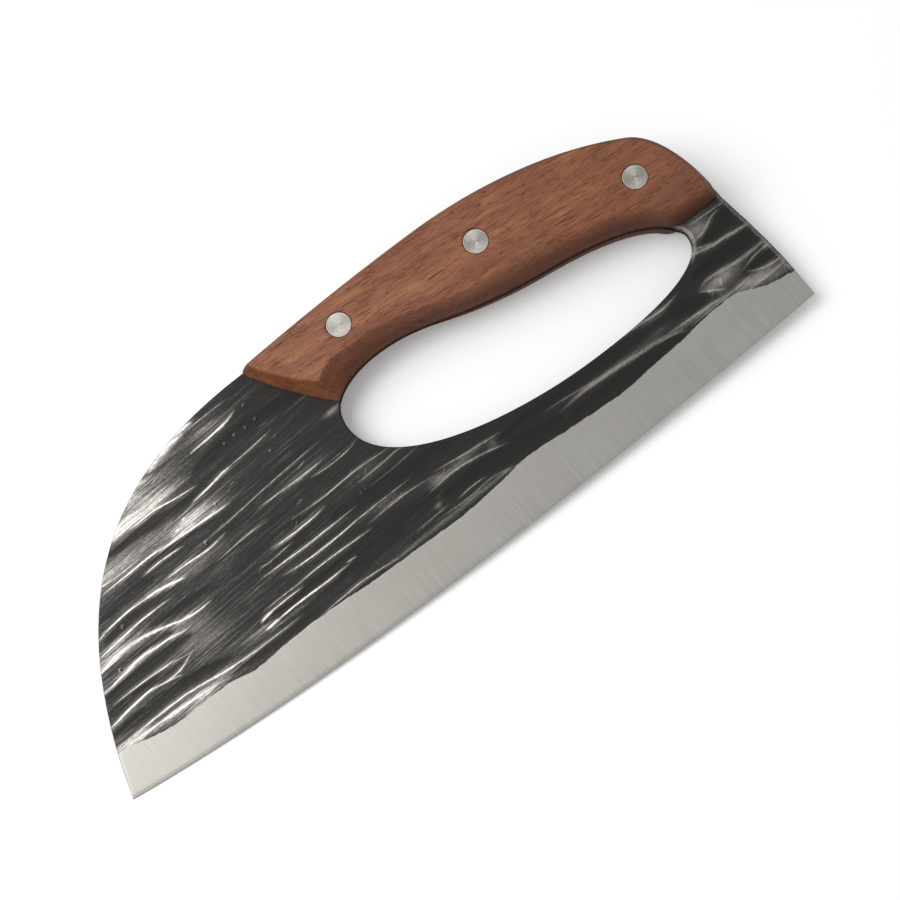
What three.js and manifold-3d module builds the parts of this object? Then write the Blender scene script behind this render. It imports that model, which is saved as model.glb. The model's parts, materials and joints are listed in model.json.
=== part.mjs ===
// A chef's knife: one forged steel plate with a finger hole under the handle and two riveted wooden scales.
// Millimetres. The knife is drawn flat first: x runs along the chord of the cutting edge from the nose
// corner to the heel corner, y goes up to the spine and z comes out of the front face.
// The last lines lay it down the way it rests on a table.
import * as THREE from "three";
import { mergeVertices } from "three/addons/utils/BufferGeometryUtils.js";
import Module from "manifold-3d";

const wasm = await Module();
wasm.setup();

// Driving sizes of the blade
const edgeLength = 254;
const spineHeight = 89.4;
const edgeBelly = 5;
const bladeThickness = 3;
const bevelHeight = 16.5;
const microBevelHeight = 1.2;
const microBevelThickness = 0.7;
const edgeThickness = 0.15;

// Driving sizes of the handle
const handleThickness = 19;
const glueGap = 0.25;
const frontBevel = 3.8;
const fingerBevel = 4.6;
const spineRound = 1.2;
const backRearBevel = 1.8;

// Driving sizes of the rivets, each a male half with a shank and a female half with a tube
const headDiameter = 8;
const headThickness = 1.6;
const headChamfer = 0.2;
const headDrop = 0.1;
const tubeDiameter = 4.6;
const shankDiameter = 3;
const shankEndGap = 0.6;
const rivetPlay = 0.1;

// Fineness of the facets, and how far cutting tools run past what they cut
const facetLength = 5;
const edgeFacetLength = 15;
const roundFacets = 32;
const cutOverrun = 10;

// Blade outline from the nose corner over the spine to the heel corner, as a chain of cubic curves.
// Each row is one curve's two handles and its end, in shares of the edge length and the spine height.
const outerShares = [
  [0, 0],
  [0.058, 0.644], [0.172, 0.95], [0.395, 0.963],
  [0.481, 0.983], [0.572, 1], [0.662, 1],
  [0.757, 1], [0.855, 0.941], [0.937, 0.811],
  [0.96, 0.774], [0.985, 0.61], [0.985, 0.464],
  [0.997, 0.247], [0.998, 0.172], [1, 0],
];

// Finger hole from its front end up under the handle, round its rear end and back along the blade.
const holeShares = [
  [0.46, 0.585],
  [0.46, 0.624], [0.463, 0.654], [0.47, 0.675],
  [0.489, 0.728], [0.524, 0.74], [0.543, 0.74],
  [0.617, 0.74], [0.632, 0.658], [0.772, 0.616],
  [0.838, 0.596], [0.899, 0.548], [0.916, 0.47],
  [0.919, 0.456], [0.924, 0.442], [0.924, 0.427],
  [0.924, 0.318], [0.857, 0.269], [0.74, 0.269],
  [0.611, 0.269], [0.46, 0.374], [0.46, 0.585],
];

// What only the wooden scales have: the handles of the curve at their front end and of the one along
// their rear foot, and the corner where that foot stops just inside the edge of the tang.
const frontEndShares = [[0.412, 0.871], [0.444, 0.753]];
const rearFootShares = [[0.938, 0.467], [0.96, 0.464], [0.983, 0.472]];

// Cutting edge between its two corners: places along its length, and depths in shares of the belly.
const edgeShares = [[0, 0], [0.292, -1.7], [0.717, -0.94], [1, 0]];

// Rivet places, in shares of the edge length and the spine height.
const rivetShares = { front: [0.524, 0.872], middle: [0.715, 0.823], rear: [0.913, 0.673] };

// The eight corners of a scale's outline are: spine front, finger front, finger crest, finger middle,
// finger rear, rear foot, rear shoulder, spine crest. At each one the outer face is drawn in from the
// foot by a bevel width times these shares, and the share of roundness turns a flat bevel into a roll.
const insetShares = [
  [1, -1], [-0.3, 1.5], [-0.8, 1], [-0.3, 0.87],
  [-0.2, 1.1], [-0.65, 1.05], [-0.6, -0.8], [0, -1],
];
const roundShares = [0.7, 0, 0.1, 0.2, 0.8, 1, 1, 1];
const fingerFrontCorner = 1;
const fingerRearCorner = 4;
const scaleLevelShares = [0, 0.3, 0.55, 0.75, 0.9, 1];

const steel = { color: 0x3a3a3a, roughness: 0.45, metalness: 0.9 };
const wood = { color: 0x8a4a2e, roughness: 0.6, metalness: 0 };
const polishedSteel = { color: 0xb9b7b2, roughness: 0.3, metalness: 1 };

const bladeFace = bladeThickness / 2;
const scaleFoot = bladeFace + glueGap;
const scaleFace = handleThickness / 2;
const headOutside = scaleFace - headDrop;
const headSeat = headOutside - headThickness;

const place = ([along, up]) => new THREE.Vector2(along * edgeLength, up * spineHeight);
const outerNet = outerShares.map(place);
const holeNet = holeShares.map(place);
const edgeNet = edgeShares.map(([along, depth]) => new THREE.Vector2(along * edgeLength, depth * edgeBelly));

// Splits a chain of control points into its cubic curves: every third point is shared by two curves.
function curvesOf(net) {
  const curves = [];
  for (let i = 0; i + 3 < net.length; i += 3) {
    curves.push(new THREE.CubicBezierCurve(...net.slice(i, i + 4)));
  }
  return curves;
}

// Points along a chain of curves, each curve cut into equal steps no longer than the facet length.
function pointsAlong(net, longest = facetLength) {
  const points = [net[0]];
  for (const curve of curvesOf(net)) {
    points.push(...curve.getPoints(stepsOf(curve, longest)).slice(1));
  }
  return points;
}

function stepsOf(curve, longest = facetLength) {
  return Math.ceil(curve.getLength() / longest);
}

function solidOf(geometry) {
  const bare = geometry.clone();
  bare.deleteAttribute("normal");
  bare.deleteAttribute("uv");
  const merged = mergeVertices(bare);
  return new wasm.Manifold(new wasm.Mesh({
    numProp: 3,
    vertProperties: merged.attributes.position.array,
    triVerts: new Uint32Array(merged.index.array),
  }));
}

function geometryOf(solid) {
  const { vertProperties, triVerts } = solid.getMesh();
  return new THREE.BufferGeometry()
    .setAttribute("position", new THREE.BufferAttribute(vertProperties, 3))
    .setIndex(new THREE.BufferAttribute(triVerts, 1));
}

// Closed solid through rings of equal point count, each ring counter-clockwise at its own height.
function loft(rings, heights) {
  const count = rings[0].length;
  const positions = rings.flatMap((ring, level) => ring.flatMap((p) => [p.x, p.y, heights[level]]));
  const indices = [];
  for (let start = 0; start < (rings.length - 1) * count; start += count) {
    for (let i = 0; i < count; i++) {
      const a = start + i;
      const b = start + ((i + 1) % count);
      indices.push(a, b, b + count, a, b + count, a + count);
    }
  }
  const top = (rings.length - 1) * count;
  for (const [a, b, c] of THREE.ShapeUtils.triangulateShape(rings[0], [])) indices.push(a, c, b);
  for (const [a, b, c] of THREE.ShapeUtils.triangulateShape(rings.at(-1), [])) {
    indices.push(top + a, top + b, top + c);
  }
  return new THREE.BufferGeometry()
    .setAttribute("position", new THREE.Float32BufferAttribute(positions, 3))
    .setIndex(indices);
}

// Bar with the blade's ground cross-section, swept along the cutting edge and longer than the blade.
function groundBar() {
  const section = (bottom) => [
    [bottom, edgeThickness / 2],
    [bottom, -edgeThickness / 2],
    [bottom + microBevelHeight, -microBevelThickness / 2],
    [bottom + bevelHeight, -bladeFace],
    [spineHeight + cutOverrun, -bladeFace],
    [spineHeight + cutOverrun, bladeFace],
    [bottom + bevelHeight, bladeFace],
    [bottom + microBevelHeight, microBevelThickness / 2],
  ].map(([y, z]) => new THREE.Vector2(y, z));
  const edge = pointsAlong(edgeNet, edgeFacetLength);
  const before = edge[0].clone().sub(new THREE.Vector2(cutOverrun, 0));
  const after = edge.at(-1).clone().add(new THREE.Vector2(cutOverrun, 0));
  const stations = [before, ...edge, after];
  const bar = loft(stations.map((p) => section(p.y)), stations.map((p) => p.x));
  // The loft rises along z: turn its section into y and z and its rise into x.
  const [x, y, z] = [[1, 0, 0], [0, 1, 0], [0, 0, 1]].map((axis) => new THREE.Vector3(...axis));
  return bar.applyMatrix4(new THREE.Matrix4().makeBasis(y, z, x));
}

function circle(centre, diameter) {
  const path = new THREE.Path().absarc(centre.x, centre.y, diameter / 2, 0, 2 * Math.PI);
  return path.getPoints(roundFacets).slice(1);
}

// The blade and tang are one plate: the outline with its holes, cut down to the ground bar.
function bladeGeometry() {
  const below = -(edgeBelly + cutOverrun);
  const nose = new THREE.Vector2(0, below);
  const heel = new THREE.Vector2(edgeLength, below);
  const outline = new THREE.Shape([nose, ...pointsAlong(outerNet), heel].reverse());
  outline.holes.push(new THREE.Path(pointsAlong(holeNet).slice(1)));
  for (const shares of Object.values(rivetShares)) {
    outline.holes.push(new THREE.Path(circle(place(shares), tubeDiameter + 2 * rivetPlay)));
  }
  const depth = bladeThickness + 2 * cutOverrun;
  const plate = new THREE.ExtrudeGeometry(outline, { depth, bevelEnabled: false });
  plate.translate(0, 0, -depth / 2);
  return geometryOf(solidOf(plate).intersect(solidOf(groundBar())));
}

// Control points of a scale's outline: down its front end, along the finger side, round the rear foot
// and back along the spine. The finger side and the spine are those of the tang.
const footNet = [
  outerNet[3], ...frontEndShares.map(place),
  ...holeNet.slice(3, 13),
  ...rearFootShares.map(place),
  ...outerNet.slice(3, 12).reverse(),
];

// Stacked outlines of a scale: each point leans in from the foot towards the outer face.
function scaleRings(bevels) {
  const corners = insetShares.length;
  const faceNet = footNet.map((point, i) => {
    const corner = Math.round(i / 3) % corners;
    const [along, up] = insetShares[corner];
    const [wide, high] = bevels[corner];
    return point.clone().add(new THREE.Vector2(along * wide, up * high));
  });
  const faceCurves = curvesOf(faceNet);
  const columns = curvesOf(footNet).flatMap((footCurve, corner) => {
    const steps = stepsOf(footCurve);
    return Array.from({ length: steps }, (_, step) => ({
      foot: footCurve.getPoint(step / steps),
      face: faceCurves[corner].getPoint(step / steps),
      round: THREE.MathUtils.lerp(roundShares[corner], roundShares[(corner + 1) % corners], step / steps),
    }));
  });
  return scaleLevelShares.map((level) => columns.map(({ foot, face, round }) => {
    const roll = 1 - Math.sqrt(1 - level * level);
    return foot.clone().lerp(face, THREE.MathUtils.lerp(level, roll, round));
  }));
}

// Cutter for one rivet's hole: as wide as the tube below the head's seat and as wide as the head above.
function rivetHole(centre) {
  const tubeHole = tubeDiameter / 2 + rivetPlay;
  const headHole = headDiameter / 2 + rivetPlay;
  return turned([
    [0, 0],
    [tubeHole, 0],
    [tubeHole, headSeat - rivetPlay],
    [headHole, headSeat - rivetPlay],
    [headHole, scaleFace + cutOverrun],
    [0, scaleFace + cutOverrun],
  ]).translate(centre.x, centre.y, 0);
}

// Solid of revolution about z from rows of radius and height that start and end on the axis.
function turned(profile) {
  const points = profile.map(([radius, height]) => new THREE.Vector2(radius, height));
  return new THREE.LatheGeometry(points, roundFacets).rotateX(Math.PI / 2);
}

// One scale as it lies on the front of the tang, with its three rivet holes.
function scaleGeometry(bevels) {
  const heights = scaleLevelShares.map((level) => THREE.MathUtils.lerp(scaleFoot, scaleFace, level));
  let scale = solidOf(loft(scaleRings(bevels), heights));
  for (const shares of Object.values(rivetShares)) {
    scale = scale.subtract(solidOf(rivetHole(place(shares))));
  }
  return geometryOf(scale);
}

// Reflects a closed mesh through the blade's middle plane and turns its faces outward again.
function mirrored(geometry) {
  const copy = geometry.clone().scale(1, 1, -1);
  const order = copy.index.array;
  for (let i = 0; i < order.length; i += 3) [order[i + 1], order[i + 2]] = [order[i + 2], order[i + 1]];
  return copy;
}

const tubeBore = shankDiameter / 2 + rivetPlay;
const tubeFloor = -headSeat;
const tubeMouth = headSeat - shankEndGap;
const shankTip = tubeFloor + shankEndGap;

// The male half: a flat head in the front scale and a solid shank down into the tube.
function maleHalf() {
  return turned([
    [0, shankTip],
    [shankDiameter / 2, shankTip],
    [shankDiameter / 2, headSeat],
    [headDiameter / 2, headSeat],
    [headDiameter / 2, headOutside - headChamfer],
    [headDiameter / 2 - headChamfer, headOutside],
    [0, headOutside],
  ]);
}

// The female half: a flat head in the back scale and a tube up through the tang.
function femaleHalf() {
  return turned([
    [0, -headOutside],
    [headDiameter / 2 - headChamfer, -headOutside],
    [headDiameter / 2, headChamfer - headOutside],
    [headDiameter / 2, -headSeat],
    [tubeDiameter / 2, -headSeat],
    [tubeDiameter / 2, tubeMouth],
    [tubeBore, tubeMouth],
    [tubeBore, tubeFloor],
    [0, tubeFloor],
  ]);
}

function part(name, geometry, finish) {
  const mesh = new THREE.Mesh(geometry, new THREE.MeshStandardMaterial(finish));
  mesh.name = name;
  return mesh;
}

// Bevel widths at the eight corners: the back scale is worked less towards its rear end.
const rolled = [spineRound, spineRound];
const finger = [fingerBevel, fingerBevel];
const backRear = [backRearBevel, backRearBevel];
const spineFront = [frontBevel, spineRound];
const frontBevels = [spineFront, finger, finger, finger, finger, finger, rolled, rolled];
const backBevels = [spineFront, finger, finger, backRear, backRear, backRear, rolled, rolled];

const knife = new THREE.Group();
knife.add(part("blade", bladeGeometry(), steel));
knife.add(part("scale_front", scaleGeometry(frontBevels), wood));
knife.add(part("scale_back", mirrored(scaleGeometry(backBevels)), wood));
for (const [where, shares] of Object.entries(rivetShares)) {
  const { x, y } = place(shares);
  const male = part("rivet_" + where + "_male", maleHalf(), polishedSteel);
  const female = part("rivet_" + where + "_female", femaleHalf(), polishedSteel);
  male.position.set(x, y, 0);
  female.position.set(x, y, 0);
  knife.add(male, female);
}

// Corner of the back scale's outer face, by its place in the list of eight corners.
function backFaceCorner(corner) {
  const before = curvesOf(footNet).slice(0, corner).map((curve) => stepsOf(curve));
  const index = before.reduce((sum, steps) => sum + steps, 0);
  const { x, y } = scaleRings(backBevels).at(-1)[index];
  return new THREE.Vector3(x, y, -scaleFace);
}

// The knife lies on three points: both ends of the back scale's finger edge and the nose corner.
function restingTurn() {
  const front = backFaceCorner(fingerFrontCorner);
  const rear = backFaceCorner(fingerRearCorner);
  const nose = new THREE.Vector3(0, microBevelHeight, -microBevelThickness / 2);
  const tableUp = rear.sub(nose).cross(front.sub(nose)).normalize();
  return new THREE.Quaternion().setFromUnitVectors(tableUp, new THREE.Vector3(0, 0, 1));
}

// The origin is under the middle of the lying knife, on the table.
knife.quaternion.copy(restingTurn());
const box = new THREE.Box3().setFromObject(knife, true);
const middle = box.getCenter(new THREE.Vector3());
knife.position.set(-middle.x, -middle.y, -box.min.z);

const root = new THREE.Group();
root.add(knife);

export default root;
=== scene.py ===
# %% [markdown]
# # A hand-forged chef's knife
# This lesson dresses a knife whose parts were drawn beforehand. The blade and its tang are one forged
# steel plate with a finger hole, and two wooden scales are riveted to the tang. The drawn parts give
# every place and size, so a new surface goes where the old one was and nothing has to be fitted.

# %% Load the frame
import json
from functools import partial

import bmesh
import bpy
import numpy as np
from mathutils import Matrix, Vector


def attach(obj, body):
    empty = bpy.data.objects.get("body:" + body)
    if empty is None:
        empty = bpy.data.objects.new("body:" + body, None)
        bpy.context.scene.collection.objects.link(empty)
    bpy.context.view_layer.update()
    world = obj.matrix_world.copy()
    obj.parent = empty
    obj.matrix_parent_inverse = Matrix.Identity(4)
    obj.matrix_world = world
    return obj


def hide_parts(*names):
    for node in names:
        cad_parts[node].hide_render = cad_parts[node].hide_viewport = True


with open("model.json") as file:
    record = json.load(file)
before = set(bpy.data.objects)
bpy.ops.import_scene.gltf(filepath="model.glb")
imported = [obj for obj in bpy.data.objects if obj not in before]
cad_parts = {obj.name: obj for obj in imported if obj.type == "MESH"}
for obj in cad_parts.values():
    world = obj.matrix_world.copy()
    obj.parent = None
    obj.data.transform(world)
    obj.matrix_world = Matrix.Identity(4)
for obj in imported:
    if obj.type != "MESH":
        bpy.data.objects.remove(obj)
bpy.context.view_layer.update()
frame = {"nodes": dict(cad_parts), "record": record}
print("nodes:", sorted(frame["nodes"]))

# %% [markdown]
# ## Units, colours and one function for nodes
# The knife is worked out in millimetres and Blender works in metres. Colours are picked as sRGB hex
# values, as in a paint program, and a shader wants linear light, so one function turns them over.
# Every material is built with one more function: it adds a node, sets its properties and fills its
# sockets with numbers, colours or the outputs of other nodes.

# %% Helpers for materials
MM = 0.001
# Names for nodes that come often, with their type and settings.
USUAL = {
    **{name: ("Math", {"operation": name})
       for name in ("ADD", "SUBTRACT", "MULTIPLY", "DIVIDE", "MAXIMUM", "MINIMUM", "ABSOLUTE")},
    "EASE": ("MapRange", {"interpolation_type": "SMOOTHSTEP"}),
    "BLEND": ("Mix", {"data_type": "RGBA"}),
}


def linear(hex_code):
    """sRGB hex to linear RGBA: under 0.04045 a straight line, above it ((c + 0.055) / 1.055) ^ 2.4."""
    srgb = np.array([int(hex_code[i:i + 2], 16) for i in (1, 3, 5)]) / 255
    return (*np.where(srgb <= 0.04045, srgb / 12.92, ((srgb + 0.055) / 1.055) ** 2.4), 1.0)


def add(tree, kind, *values, inputs=None, out=0, stops=(), **settings):
    """Adds one node and gives back one of its outputs, or all for out=None. Values fill its sockets in
    order and inputs by name: numbers, hex colours or outputs. Stops are a ramp's places and colours."""
    kind, usual = USUAL.get(kind, (kind, {}))
    node = tree.nodes.new("ShaderNode" + kind)
    for name, value in {**usual, **settings}.items():
        setattr(node, name, value)
    for name, value in [*enumerate(values), *(inputs or {}).items()]:
        if isinstance(value, bpy.types.NodeSocket):
            tree.links.new(value, node.inputs[name])
        else:
            node.inputs[name].default_value = linear(value) if isinstance(value, str) else value
    if stops:
        elements = node.color_ramp.elements
        while len(elements) < len(stops):
            elements.new(0.5)
        for element, (place, colour) in zip(elements, stops):
            element.position, element.color = place, linear(colour)
    return node.outputs if out is None else node.outputs[out]


def new_material(name):
    """An empty node material, and the function add with its tree filled in."""
    material = bpy.data.materials.new(name)
    material.use_nodes = True
    material.node_tree.nodes.clear()
    return material, partial(add, material.node_tree)


# %% [markdown]
# ## Where the knife lies
# The knife is easiest to draw flat: x along the chord of the cutting edge from the nose corner to the
# heel corner, y up to the spine and z out of the front face. On the table it lies tilted on its back
# scale. The frame gives that tilt as the direction that the blade's front flank faces, and turning the
# blade's points back by it shows where the flat drawing's origin went.

# %% Turn between the flat drawing and the table
EDGE_LENGTH = 254.0
SPINE_HEIGHT = 89.4
EDGE_BELLY = 5.0
BLADE_THICKNESS = 3.0
HANDLE_THICKNESS = 19.0

flank = next(m for m in frame["record"]["mounts"] if m["name"] == "blade_front_flank")
turn = np.array(Vector((0, 0, 1)).rotation_difference(Vector(flank["axis"])).to_matrix())


def vertices_of(mesh):
    """All vertices of a mesh as rows of x, y and z."""
    places = np.empty(len(mesh.vertices) * 3)
    mesh.vertices.foreach_get("co", places)
    return places.reshape(-1, 3)


turned_back = vertices_of(frame["nodes"]["blade"].data) @ turn / MM
drawing_origin = np.array([
    turned_back[:, 0].min(),
    turned_back[:, 1].max() - SPINE_HEIGHT,
    (turned_back[:, 2].min() + turned_back[:, 2].max()) / 2,
])


def lay(points):
    """Flat drawing in millimetres to the table in metres: shift by the origin, then turn."""
    return (np.asarray(points) + drawing_origin) @ turn.T * MM


def drawn(mesh):
    """The vertices of a mesh on the table as points of the flat drawing, in millimetres."""
    return vertices_of(mesh) / MM @ turn - drawing_origin


print("the drawing's origin lies at", lay([0, 0, 0]).round(4))

# %% [markdown]
# ## Outlines as chains of curves
# A smith's template has long fair curves, so the outlines are chains of cubic curves. Each row below
# is one curve's two handles and its end, in shares of the edge length and the spine height. Every line
# is kept as a track: its length so far, its place and the direction square to it.

# %% Outline tracks
OUTER_SHARES = [
    [0, 0],
    [0.058, 0.644], [0.172, 0.95], [0.395, 0.963],
    [0.481, 0.983], [0.572, 1], [0.662, 1],
    [0.757, 1], [0.855, 0.941], [0.937, 0.811],
    [0.96, 0.774], [0.985, 0.61], [0.985, 0.464],
    [0.997, 0.247], [0.998, 0.172], [1, 0],
]
HOLE_SHARES = [
    [0.46, 0.585],
    [0.46, 0.624], [0.463, 0.654], [0.47, 0.675],
    [0.489, 0.728], [0.524, 0.74], [0.543, 0.74],
    [0.617, 0.74], [0.632, 0.658], [0.772, 0.616],
    [0.838, 0.596], [0.899, 0.548], [0.916, 0.47],
    [0.919, 0.456], [0.924, 0.442], [0.924, 0.427],
    [0.924, 0.318], [0.857, 0.269], [0.74, 0.269],
    [0.611, 0.269], [0.46, 0.374], [0.46, 0.585],
]
EDGE_SHARES = [[0, 0], [0.292, -1.7], [0.717, -0.94], [1, 0]]
RIVET_SHARES = {"front": [0.524, 0.872], "middle": [0.715, 0.823], "rear": [0.913, 0.673]}
CURVE_STEPS = 120
EDGE_STEPS = 400

outer_net = np.array(OUTER_SHARES) * [EDGE_LENGTH, SPINE_HEIGHT]
hole_net = np.array(HOLE_SHARES) * [EDGE_LENGTH, SPINE_HEIGHT]
edge_net = np.array(EDGE_SHARES) * [EDGE_LENGTH, EDGE_BELLY]
rivet_centres = {name: np.array(s) * [EDGE_LENGTH, SPINE_HEIGHT] for name, s in RIVET_SHARES.items()}


def cubic(points, t):
    """Cubic curve: its four points weighted by (1-t)^3, 3t(1-t)^2, 3t^2(1-t) and t^3."""
    t = t[:, None]
    a, b, c, d = points
    return (1 - t) ** 3 * a + 3 * t * (1 - t) ** 2 * b + 3 * t * t * (1 - t) * c + t ** 3 * d


def chained(net, steps):
    """A chain of cubic curves as one fine line; every third point is shared by two curves."""
    t = np.linspace(0, 1, steps, endpoint=False)
    starts = range(0, len(net) - 3, 3)
    return np.vstack([cubic(net[i:i + 4], t) for i in starts] + [net[-1:]])


def lengths(line):
    """Length so far at each point of a line."""
    return np.concatenate([[0], np.cumsum(np.hypot(*np.diff(line, axis=0).T))])


def shares_of(line):
    """The same as shares of the whole length."""
    return lengths(line) / lengths(line)[-1]


def track(line, inward=0):
    """Rows of length so far, x, y and the unit normal. Inward is 1 to look right of the way, -1 left."""
    so_far = lengths(line)
    way = np.gradient(line, so_far, axis=0)
    if np.allclose(line[0], line[-1]):
        way[0] = way[-1] = line[1] - line[-2]
    way /= np.hypot(*way.T)[:, None]
    return np.column_stack([so_far, line, way[:, 1] * inward, -way[:, 0] * inward])


def at(line_track, distance):
    """Place and normal at any distances along a track, in the distances' own shape."""
    return np.stack([np.interp(distance, line_track[:, 0], column) for column in line_track[:, 1:].T], -1)


outer = track(chained(outer_net, CURVE_STEPS), inward=1)
hole = track(chained(hole_net, CURVE_STEPS), inward=-1)
edge = track(chained(edge_net, EDGE_STEPS))
print("outer outline %.0f mm, hole %.0f mm, edge %.1f mm" % (outer[-1, 0], hole[-1, 0], edge[-1, 0]))

# %% [markdown]
# ## The ground section
# The plate is 3 mm thick. A flat bevel thins it over 16.5 mm down to the edge, and a steeper micro
# bevel makes the last 1.2 mm, from 0.5 mm thick to 0.15 mm. The half thickness therefore depends only
# on the height above the edge.

# %% Half thickness of the ground plate
BEVEL_HEIGHT = 16.5
MICRO_BEVEL_HEIGHT = 1.2
MICRO_BEVEL_THICKNESS = 0.5
EDGE_THICKNESS = 0.15


def above_edge(x, y):
    """Height of a point over the cutting edge."""
    return y - np.interp(x, edge[:, 1], edge[:, 2])


def bevel_plane(height):
    """Half thickness that grinding leaves: the lower of the micro bevel's line and the bevel's line."""
    slope = (BLADE_THICKNESS - MICRO_BEVEL_THICKNESS) / 2 / (BEVEL_HEIGHT - MICRO_BEVEL_HEIGHT)
    steep = (MICRO_BEVEL_THICKNESS - EDGE_THICKNESS) / 2 / MICRO_BEVEL_HEIGHT
    bevel = MICRO_BEVEL_THICKNESS / 2 + (height - MICRO_BEVEL_HEIGHT) * slope
    return np.minimum(EDGE_THICKNESS / 2 + height * steep, bevel)


# %% [markdown]
# ## The hammered face
# The smith's hammer leaves long hollows along the blade, filled with black forge scale. A belt then
# runs over the face along the blade and bares the steel on the ridges between them. So one drawing
# serves both shape and colour: hollows sink and stay black, ridges stand and shine. Ridges and
# hollows are lines with a half width that fades towards their ends. A few short scuffs run across
# the grain, the belt bared some soft-edged patches, and scale broke out in small pits.

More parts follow.
